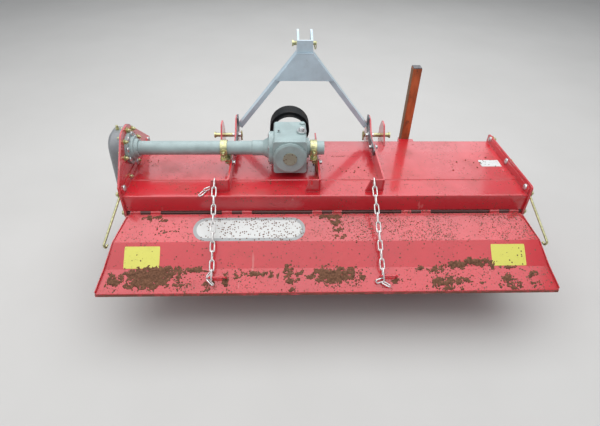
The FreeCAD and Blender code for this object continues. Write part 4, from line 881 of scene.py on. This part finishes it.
class AddClampBolts(bpy.types.Operator):
    """Bolts of the cross tube's clamps and of the foot straps."""
    bl_idname = "tiller.clamp_bolts"
    bl_label = "Clamp bolts"

    def execute(self, context):
        yellow, silver = [], []
        for x, face in CLAMPS:
            for y in (DRIVE[0] - 44, DRIVE[0] + 44):
                yellow.append((spot(x, y, 163), UP, x))
            yellow.append((spot(x, DRIVE[0] - CLAMP_OUTSIDE, DRIVE[1] - 4), BACK, 0.2))
            yellow.append((spot(face - 5, 192, 134), OUT_LEFT, 0.3))
            silver.append((spot(face + 8, 192, 134), OUT_RIGHT, 0.1))
        for inner, outer, way in FOOT_STRAPS:
            for y, z in FOOT_BOLTS:
                silver.append((spot(inner, y, z), (way, 0, 0), y))
                silver.append((spot(outer, y, z), (-way, 0, 0), y * 0.7))
        piece = repeat(hex_bolt(0.017, stub=0.007), yellow, "clamp_nuts")
        finish_piece(piece, "frame", "yellow_zinc", finish("yellow_zinc"))
        piece = repeat(hex_bolt(0.018), silver, "clamp_heads")
        finish_piece(piece, "frame", "galvanised", finish("silver"))
        return {"FINISHED"}


def link_model(inside, wire, width):
    """A chain link of round wire along Z, its width along X."""
    radius = width / 2 - wire / 2
    begin()
    bpy.ops.mesh.primitive_torus_add(
        major_segments=20, minor_segments=8, major_radius=radius, minor_radius=wire / 2,
        rotation=(math.pi / 2, 0, 0))
    link = settle(bpy.context.object)
    reach = inside / 2 - (radius - wire / 2)
    for side in (-1, 1):
        edit(link, "VERT", lambda v: v.co.z * side > 1e-5)
        bpy.ops.transform.translate(value=(0, 0, side * reach))
        close()
    take(link)
    bpy.ops.object.shade_smooth()
    return joined([link], "link_model")


ROD_EYE = (22.0, 76.0)
# Each chain: its name, its place along the lip at its slot and at its staple.
CHAINS = [("chain_left", -499.5, -499.0), ("chain_right", 204.0, 224.0)]
SLOT_LINK = 10
SLOT_PLACE = (30.5, 130.0)
STAPLE_BAR = (-291.65, -131.05)
SLOT_LEAN = math.radians(26)
HANGER_REACH = 14.9
BLEND_SHARE = 0.75
STAPLE_GRIP = 4.8
LINK_WIDTH = 24.0
CHAIN_SLACK = 0.35


class AddChains(bpy.types.Operator):
    """The two chains of round links, each with a last link hanging behind its bracket."""
    bl_idname = "tiller.chains"
    bl_label = "Chains"

    def execute(self, context):
        for name, top_x, foot_x in CHAINS:
            foot = Vector((foot_x, *STAPLE_BAR))
            slot = Vector((top_x, *SLOT_PLACE))
            way = slot - foot
            pitch = (way.length + STAPLE_GRIP - CHAIN_SLACK / 2) / (SLOT_LINK + 0.5)
            inside = (pitch + CHAIN_SLACK) / 2
            way.normalize()
            across = Vector((1, 0, 0))
            across = (across - way * across.dot(way)).normalized()
            places = []
            for index in range(SLOT_LINK + 1):
                width = across if index % 2 else way.cross(across)
                places.append((foot + way * (index * pitch + inside - STAPLE_GRIP), width, way))
            wire = sizes().wire * 1000
            hook = places.pop()[0] - way * (inside - wire / 2)
            lying = Vector((0, math.cos(SLOT_LEAN), math.sin(SLOT_LEAN)))
            middle = hook + lying * (inside - wire / 2)
            places.append((middle, lying.cross(across), lying))
            hanger = middle + lying * HANGER_REACH - Vector((0, 0, inside + wire / 2))
            places.append((hanger, Vector((1, 0, 0)), Vector((0, 0, -1))))
            model = link_model(inside * 2 / 1000, wire / 1000, LINK_WIDTH / 1000)
            links = []
            for point, width, along in places:
                take(model)
                bpy.ops.object.duplicate(linked=False)
                copy = bpy.context.object
                turn = Matrix((width, along.cross(width), along)).transposed().to_4x4()
                copy.data.transform(Matrix.Translation(spot(*point)) @ turn)
                links.append(copy)
            bpy.data.objects.remove(model)
            piece = joined(links, name + "_links")
            outward(piece)
            piece.data.materials.append(finish("chain"))
            last = slot.lerp(foot, BLEND_SHARE)
            spot(*slot)
            spot(*last)
            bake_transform(piece)
            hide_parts(name)
        return {"FINISHED"}


# Loose links: on the deck by the left bracket (place, direction, spin), and by the staples
# (across and down the board, rise, run across and down, spin).
DECK_LINKS = [
    (-506.0, 52.0, 83.5, (-1.0, 0.1, 0.02), 0.1),
    (-533.0, 41.0, 91.0, (-0.80, -0.55, 0.0), 1.35),
    (-555.0, 17.0, 84.0, (-0.45, -0.85, 0.0), 0.2),
]
BOARD_LINKS = [
    (-0.509, 0.283, 0.014, -29.0, 37.0, 0.5),
    (-0.505, 0.318, 0.010, 30.0, 30.0, -0.7),
    (0.211, 0.318, 0.012, 40.0, -14.0, 1.0),
    (0.236, 0.333, 0.008, 36.0, 20.0, -0.2),
]


class AddSpareLinks(bpy.types.Operator):
    """Loose links on the deck by the left bracket and by the staples."""
    bl_idname = "tiller.spare_links"
    bl_label = "Spare links"

    def execute(self, context):
        wire = sizes().wire
        model = link_model(0.036, wire, LINK_WIDTH / 1000)
        places = [(spot(x, y, z), Vector(way), spin) for x, y, z, way, spin in DECK_LINKS]
        piece = repeat(model, places, "spare_links_deck")
        finish_piece(outward(piece), "frame", "galvanised", finish("chain"))
        model = link_model(0.032, wire, 0.022)
        places = []
        for x, along, rise, across, down, spin in BOARD_LINKS:
            way = on_board(x + across / 1000, along + down / 1000) - on_board(x, along)
            places.append((on_board(x, along, rise), way, spin))
        piece = repeat(model, places, "spare_links_board")
        finish_piece(outward(piece), "board", "galvanised", finish("chain"))
        return {"FINISHED"}


class AddHitchDetails(bpy.types.Operator):
    """Linch pins on the lower pins' inner ends and the ring on the top pin."""
    bl_idname = "tiller.hitch_details"
    bl_label = "Hitch details"

    def execute(self, context):
        parts = []
        for side in (-1, 1):
            x = HITCH_X + side * 328
            loop = [spot(x, 545, 60)]
            for step in range(13):
                angle = math.pi * 1.75 * step / 12 - math.pi / 2
                loop.append(spot(x - side * 1.5, 545 + 18 * math.cos(angle), 84 + 22 * math.sin(angle)))
            parts.append(bent(loop, 0.0022, "linch_ring", 8, 0.002))
            stem = rod(0.0045, 0.052, 14, spot(x, 545, 78))
            parts.append(soften(stem, 0.0015, 2))
        ring = []
        for step in range(25):
            angle = math.tau * step / 24
            ring.append(spot(-42 + 3 * math.cos(angle), 588 - 14 * math.cos(angle), 543 + 17 * math.sin(angle)))
        parts.append(bent(ring, 0.0024, "pin_ring", 8, 0.001))
        piece = joined(parts, "linch_pins")
        finish_piece(piece, "frame", "yellow_zinc", finish("yellow_zinc"))
        return {"FINISHED"}


class AddWelds(bpy.types.Operator):
    """Welds of the brackets, the head frame and the deck's ends."""
    bl_idname = "tiller.welds"
    bl_label = "Welds"

    def execute(self, context):
        seams = []
        for right, leg, front in ((-435, 92, 372), (253, 85, 372), (-31, 70, 372)):
            seams.append((spot(right + 1, 48, 81), spot(right + 1, 118, 81), 0.0038))
            seams.append((spot(right + 1, 154, 81), spot(right + 1, front, 81), 0.0038))
            seams.append((spot(right - leg + 3, 29, 81), spot(right - 14, 29, 81), 0.0038))
        for side in (-1, 1):
            seams.append((spot(side * 895, 14, 80.5), spot(side * 895, 118, 80.5), 0.003))
            seams.append((spot(side * 895, 154, 80.5), spot(side * 895, 372, 80.5), 0.003))
        piece = joined([bead(*seam, "red_weld") for seam in seams], "red_welds")
        finish_piece(piece, "frame", "red_paint", finish("plate_red"))
        seams = []
        for side in (-1, 1):
            low, high = HITCH_X + side * 139, HITCH_X + side * 42
            seams.append((spot(low, 492, 409), spot(high, 492, 531), 0.0028))
            seams.append((spot(HITCH_X + side * 136, 488, 406), spot(HITCH_X + side * 108, 488, 406), 0.0026))
            foot = HITCH_X + side * 329
            seams.append((spot(foot, 496, 160), spot(foot, 542, 160), 0.003))
        seams.append((spot(HITCH_X - 36, 488, 537), spot(HITCH_X + 36, 488, 537), 0.0026))
        piece = joined([bead(*seam, "grey_weld") for seam in seams], "grey_welds")
        finish_piece(piece, "frame", "blue_grey_paint", finish("blue_grey"))
        return {"FINISHED"}


def on_board(x, along, rise=0.0):
    """A place on the tail board's outer face: metres down its sheet and above it."""
    left = along
    last = len(BOARD_LINE) - 2
    for index, (upper, lower) in enumerate(zip(BOARD_LINE, BOARD_LINE[1:])):
        run, fall = lower[0] - upper[0], lower[1] - upper[1]
        length = math.hypot(run, fall)
        if left * 1000 <= length or index == last:
            share = left * 1000 / length
            normal = Vector((0, fall, -run)).normalized()
            return spot(x * 1000, upper[0] + run * share, upper[1] + fall * share) + normal * rise
        left -= length / 1000
    raise ValueError(along)


def sheet_patch(name, centre_x, centre_s, wide, high, surface, rise=0.0006, corner=0.006, columns=24, rows=8):
    """A thin blank film that follows a folded sheet, with rounded corners."""
    begin()
    bpy.ops.mesh.primitive_grid_add(x_subdivisions=columns, y_subdivisions=rows, size=1)
    part = bpy.context.object
    for vertex in part.data.vertices:
        u, v = vertex.co.x * wide, vertex.co.y * high
        over_u = abs(u) - (wide / 2 - corner)
        over_v = abs(v) - (high / 2 - corner)
        if over_u > 0 and over_v > 0:
            reach = math.hypot(over_u, over_v)
            if reach > corner:
                u -= math.copysign(over_u * (1 - corner / reach), u)
                v -= math.copysign(over_v * (1 - corner / reach), v)
        vertex.co = surface(centre_x + u, centre_s - v, rise)
    take(part)
    thick = part.modifiers.new("film", "SOLIDIFY")
    thick.thickness = rise * 0.8
    thick.offset = -1
    bpy.ops.object.modifier_apply(modifier=thick.name)
    bpy.ops.object.shade_smooth_by_angle(angle=math.radians(30))
    return joined([part], name)


def on_deck(x, along, rise=0.0):
    """A place on the deck's top: metres ahead of its rear lip, and above it."""
    if along > 0.374:
        fall = (along - 0.374) / 0.119 * 0.025
    else:
        fall = 0
    return spot(x * 1000, along * 1000, 80) + Vector((0, 0, rise - fall))


class AddBlankLabels(bpy.types.Operator):
    """Blank films where such a machine has its badge and its labels."""
    bl_idname = "tiller.blank_labels"
    bl_label = "Blank labels"

    def execute(self, context):
        rim = sheet_patch("badge_rim", -0.348, 0.079, 0.492, 0.120, on_board, corner=0.060, columns=96, rows=36)
        finish_piece(rim, "board", "red_paint", finish("grey_film"))
        face = sheet_patch("blank_badge", -0.348, 0.079, 0.462, 0.092, on_board, rise=0.0010, corner=0.046,
                           columns=96, rows=30)
        finish_piece(face, "board", "red_paint", finish("pale_film"))
        labels = [
            sheet_patch("blank_label", -0.801, 0.208, 0.150, 0.094, on_board, corner=0.003),
            sheet_patch("blank_label", 0.785, 0.208, 0.150, 0.094, on_board, corner=0.003),
        ]
        finish_piece(joined(labels, "blank_labels"), "board", "red_paint", finish("yellow_film"))
        plate = sheet_patch("blank_plate", 0.824, 0.265, 0.100, 0.058, lambda x, s, r: on_deck(x, 0.53 - s, r),
                            corner=0.003)
        finish_piece(plate, "frame", "red_paint", finish("white_film"))
        return {"FINISHED"}


# Caked earth on the board: its middle across and down the sheet, its half sizes, its weight.
MUD_PATCHES = [
    (-0.730, 0.260, 0.120, 0.015, 0.95), (-0.590, 0.264, 0.080, 0.012, 0.85), (-0.760, 0.285, 0.120, 0.030, 1.00), (-0.770, 0.312, 0.095, 0.030, 1.00),
    (-0.820, 0.318, 0.045, 0.028, 0.90), (-0.911, 0.308, 0.030, 0.034, 0.85), (-0.640, 0.325, 0.035, 0.020, 0.70),
    (-0.779, 0.016, 0.048, 0.016, 0.75), (-0.760, 0.030, 0.055, 0.014, 0.45), (-0.705, 0.088, 0.060, 0.022, 0.34),
    (-0.513, 0.335, 0.030, 0.020, 0.80), (-0.441, 0.315, 0.020, 0.032, 0.75), (-0.311, 0.285, 0.110, 0.016, 0.60),
    (-0.186, 0.262, 0.016, 0.026, 0.75), (-0.174, 0.290, 0.020, 0.050, 0.80), (-0.137, 0.292, 0.030, 0.018, 0.70),
    (-0.163, 0.352, 0.018, 0.010, 0.70), (-0.020, 0.280, 0.060, 0.030, 0.85), (0.022, 0.295, 0.100, 0.034, 0.95),
    (0.090, 0.278, 0.060, 0.020, 0.75), (0.125, 0.300, 0.030, 0.014, 0.55), (0.010, 0.014, 0.062, 0.014, 0.95),
    (0.036, 0.045, 0.024, 0.040, 0.75), (0.044, 0.085, 0.026, 0.040, 0.62), (0.060, 0.118, 0.024, 0.018, 0.45),
    (0.392, 0.266, 0.020, 0.013, 0.65), (0.457, 0.270, 0.036, 0.018, 0.72), (0.560, 0.250, 0.070, 0.018, 0.85),
    (0.640, 0.238, 0.080, 0.018, 0.80), (0.700, 0.252, 0.050, 0.012, 0.60), (0.776, 0.262, 0.070, 0.010, 0.55),
    (0.500, 0.325, 0.080, 0.030, 0.82), (0.570, 0.318, 0.045, 0.020, 0.65), (0.657, 0.330, 0.010, 0.006, 0.70),
    (0.766, 0.310, 0.034, 0.022, 0.72), (0.776, 0.338, 0.050, 0.018, 0.75), (0.876, 0.297, 0.026, 0.022, 0.75),
    (0.881, 0.334, 0.026, 0.014, 0.70), (0.285, 0.320, 0.022, 0.018, 0.60),
]
BOARD_LENGTH = sum(math.dist(a, b) for a, b in zip(BOARD_LINE, BOARD_LINE[1:])) / 1000


class AddMud(bpy.types.Operator):
    """Caked earth on the tail board, thick where the rotor's throw dries on it."""
    bl_idname = "tiller.mud"
    bl_label = "Mud"

    def execute(self, context):
        thick = sizes().mud
        begin()
        bpy.ops.mesh.primitive_grid_add(x_subdivisions=640, y_subdivisions=118, size=1)
        crust = bpy.context.object
        bare = set()
        for vertex in crust.data.vertices:
            x = vertex.co.x * 1.90
            along = 0.004 + (0.5 - vertex.co.y) * (BOARD_LENGTH - 0.006)
            weight = 0.0
            for middle_x, middle_s, half_x, half_s, share in MUD_PATCHES:
                off = math.hypot((x - middle_x) / half_x, (along - middle_s) / half_s)
                if off < 1.5:
                    weight = max(weight, share * (1.5 - off) / 1.5)
            depth = 0.0
            if weight > 0:
                coarse = noise.fractal(Vector((x * 46, along * 52, 3.0)), 0.8, 2.1, 4)
                fine = noise.fractal(Vector((x * 150, along * 150, 9.0)), 0.8, 2.1, 3)
                depth = weight + coarse * 0.50 + fine * 0.34 - 0.48
            if depth <= 0:
                bare.add(vertex.index)
                depth = 0.0
            crumb = 0.55 + 0.45 * noise.noise(Vector((x * 190, along * 190, 1.0)))
            vertex.co = on_board(x, along, min(depth * 2.6, 1.0) * thick * crumb + 0.0002)
        edit(crust, "FACE", lambda f: all(v.index in bare for v in f.verts))
        bpy.ops.mesh.delete(type="FACE")
        close()
        take(crust)
        under = crust.modifiers.new("under", "SOLIDIFY")
        under.thickness = 0.0008
        under.offset = -1
        bpy.ops.object.modifier_apply(modifier=under.name)
        bpy.ops.object.shade_smooth()
        finish_piece(joined([crust], "caked_earth"), "board", "red_paint", finish("earth"))
        return {"FINISHED"}


def clod_model():
    """A crumb of earth: an uneven lump, half a unit in radius."""
    begin()
    bpy.ops.mesh.primitive_ico_sphere_add(subdivisions=2, radius=0.5)
    lump = bpy.context.object
    for vertex in lump.data.vertices:
        vertex.co *= 1 + 0.45 * noise.noise(vertex.co * 3.1)
        vertex.co.z *= 0.6
    take(lump)
    bpy.ops.object.shade_smooth()
    return lump


class AddCrumbs(bpy.types.Operator):
    """Crumbs of earth on the deck, along the hinge and on the board."""
    bl_idname = "tiller.crumbs"
    bl_label = "Crumbs of earth"

    def execute(self, context):
        largest = sizes().clod
        fields = [
            # name, body, surface, count, x range, along range, size share
            ("crumbs_deck", "frame", on_deck, 150, (-0.88, 0.88), (0.012, 0.115), 0.75),
            ("crumbs_deck_front", "frame", on_deck, 150, (-0.88, 0.88), (0.155, 0.36), 0.8),
            ("crumbs_deck_far", "frame", on_deck, 90, (-0.02, 0.19), (0.325, 0.385), 0.75),
            ("crumbs_hinge", "board", on_board, 120, (-0.87, 0.87), (0.006, 0.035), 0.7),
            ("crumbs_board", "board", on_board, 230, (-0.90, 0.90), (0.04, 0.355), 0.55),
        ]
        for name, body, surface, count, across, along, share in fields:
            places = []
            index = 0
            while len(places) < count:
                index += 1
                u = noise.cell(Vector((index * 1.7, count * 0.37, 0.5))) % 1
                v = noise.cell(Vector((index * 2.3, count * 0.91, 7.5))) % 1
                w = noise.cell(Vector((index * 3.1, count * 0.53, 3.5))) % 1
                x = across[0] + (across[1] - across[0]) * u
                s = along[0] + (along[1] - along[0]) * v
                if noise.noise(Vector((x * 3.2, s * 6.0, count))) < -0.05 + 0.25 * w:
                    continue
                size = largest * share * (0.25 + 0.75 * w ** 3)
                places.append((surface(x, s, size * 0.12), Vector((u - 0.5, v - 0.5, 3)), w * 6, size))
            piece = repeat(clod_model(), places, name)
            finish_piece(piece, body, "red_paint", finish("earth"))
        return {"FINISHED"}


class AddHingeEnds(bpy.types.Operator):
    """Nuts on the ends of the hinge rod and on the side rods' eyes."""
    bl_idname = "tiller.hinge_ends"
    bl_label = "Hinge ends"

    def execute(self, context):
        places = []
        for side in (-1, 1):
            places.append((spot(side * PLATE_OUT, 2, -11.5), (side, 0, 0), 0.3))
            places.append((spot(side * (PLATE_OUT + 12), *ROD_EYE), (side, 0, 0), 0.1))
        piece = repeat(hex_bolt(0.018, 0.010), places, "hinge_rod_nuts")
        finish_piece(piece, "frame", "yellow_zinc", finish("yellow_zinc"))
        return {"FINISHED"}


class AddStandDetails(bpy.types.Operator):
    """The stand's cap, rim and pin."""
    bl_idname = "tiller.stand_details"
    bl_label = "Stand details"

    def execute(self, context):
        x, y = 460.0, 556.0
        cap = block((0.041, 0.041, 0.004), spot(x, y, 452))
        edit(cap, "FACE", lambda f: f.normal.z > 0.9)
        bpy.ops.mesh.inset(thickness=0.004)
        bpy.ops.transform.translate(value=(0, 0, 0.0015))
        close()
        soften(cap, 0.001, 2)
        finish_piece(joined([cap], "stand_cap"), "stand", "blue_grey_paint", finish("dark_steel"))
        pin = bent([spot(x - 52, y, 20), spot(x + 48, y, 20), spot(x + 54, y, -2)], 0.0055, "stand_pin", 12, 0.008)
        finish_piece(pin, "frame", "yellow_zinc", finish("yellow_zinc"))
        return {"FINISHED"}


# The stage

CAMERA = Vector((-0.184, -1.673, 1.664))
CAMERA_DOWN = 39.1
CAMERA_SIDE = 2.29
CAMERA_ROLL = 1.17
CAMERA_LENS = 25.98


def camera_turn():
    """The camera's axes: right, up and backwards."""
    down, side, roll = (math.radians(v) for v in (CAMERA_DOWN, CAMERA_SIDE, CAMERA_ROLL))
    ahead = Vector((math.sin(side) * math.cos(down), math.cos(side) * math.cos(down), -math.sin(down)))
    right = Vector((math.cos(side), -math.sin(side), 0))
    up = right.cross(ahead)
    turned_right = right * math.cos(roll) + up * math.sin(roll)
    turned_up = up * math.cos(roll) - right * math.sin(roll)
    return Matrix((turned_right, turned_up, -ahead)).transposed().to_4x4()


# Each light: place and what it points at in metres, size, power in watts, colour.
LIGHTS = [
    ("overhead", (0.15, 1.3, 4.3), (0.15, 1.2, 0.4), (6.1, 4.2), 200, (0.97, 0.98, 1.0)),
    ("ahead", (0.2, 5.2, 3.3), (0, 0, 0.6), (6.5, 2.4), 70, (0.94, 0.97, 1.0)),
    ("above_the_camera", (-0.1, -1.55, 4.3), (-0.1, -1.0, 0.4), (7.0, 1.4), 62, (0.98, 0.98, 1.0)),
    ("behind", (-0.1, -3.2, 4.0), (-0.1, -1.0, 0.4), (7.0, 1.9), 46, (0.98, 0.98, 1.0)),
    ("side", (-4.2, -1.8, 3.0), (0, 0, 0.4), (2.4, 2.4), 35, (1.0, 0.98, 0.95)),
]


def area_light(name, place, target, size, power, tone):
    """A soft rectangular light that doesn't show in the picture itself."""
    data = bpy.data.lights.new(name, "AREA")
    data.shape = "RECTANGLE"
    data.size, data.size_y = size
    data.energy = power
    data.color = tone
    thing = bpy.data.objects.new(name, data)
    bpy.context.scene.collection.objects.link(thing)
    thing.matrix_world = Matrix.Translation(place) @ facing(Vector(place) - Vector(target))
    thing.visible_camera = False


class SetStage(bpy.types.Operator):
    """The pale floor, the soft light and the camera at the photograph's angle."""
    bl_idname = "tiller.stage"
    bl_label = "Stage"

    def execute(self, context):
        scene = context.scene
        begin()
        bpy.ops.mesh.primitive_plane_add(size=24, location=(0, 0, 0))
        floor = bpy.context.object
        floor.name = "floor"
        made = Finish("pale_floor", IOR=1.3)
        tone = made.mix(made.grain(1.5, 3.0), (0.50, 0.49, 0.47, 1), (0.56, 0.55, 0.53, 1))
        made.give(Base_Color=tone, Roughness=0.8 + made.grain(30.0) * 0.1)
        floor.data.materials.append(made.material)

        world = bpy.data.worlds.new("soft_sky")
        world.use_nodes = True
        sky = world.node_tree.nodes["Background"].inputs
        sky["Color"].default_value = (0.90, 0.94, 1.0, 1)
        sky["Strength"].default_value = 0.34
        scene.world = world
        for light in LIGHTS:
            area_light(*light)

        data = bpy.data.cameras.new("view")
        data.sensor_width = 36
        data.lens = CAMERA_LENS
        camera = bpy.data.objects.new("view", data)
        scene.collection.objects.link(camera)
        camera.matrix_world = Matrix.Translation(CAMERA) @ camera_turn()
        scene.camera = camera
        scene.view_settings.view_transform = "Standard"
        return {"FINISHED"}


class TILLER_PT_panel(bpy.types.Panel):
    """Lists the tiller's pieces and settings."""
    bl_label = "Rotary tiller"
    bl_idname = "TILLER_PT_panel"
    bl_space_type = "VIEW_3D"
    bl_region_type = "UI"
    bl_category = "Tiller"

    def draw(self, context):
        for group in (context.scene.tiller_sizes, context.scene.tiller_colours):
            box = self.layout.box()
            for name in group.__annotations__:
                box.prop(group, name)
        for step in STEPS:
            self.layout.operator(step.bl_idname)


STEPS = [
    PaintCadNodes, SetStage, AddBodyBolts, AddGearboxDetails, AddClampBolts, AddChains, AddSpareLinks,
    AddHitchDetails, AddWelds, AddBlankLabels, AddMud, AddCrumbs, AddHingeEnds, AddStandDetails,
]
CLASSES = [TillerSizes, TillerColours, *STEPS, TILLER_PT_panel]


def register():
    for kind in CLASSES:
        bpy.utils.register_class(kind)
    bpy.types.Scene.tiller_sizes = bpy.props.PointerProperty(type=TillerSizes)
    bpy.types.Scene.tiller_colours = bpy.props.PointerProperty(type=TillerColours)


def unregister():
    del bpy.types.Scene.tiller_sizes
    del bpy.types.Scene.tiller_colours
    for kind in reversed(CLASSES):
        bpy.utils.unregister_class(kind)


def main():
    register()
    for step in STEPS:
        group, name = step.bl_idname.split(".")
        getattr(getattr(bpy.ops, group), name)()
    begin()


if __name__ == "__main__":
    main()
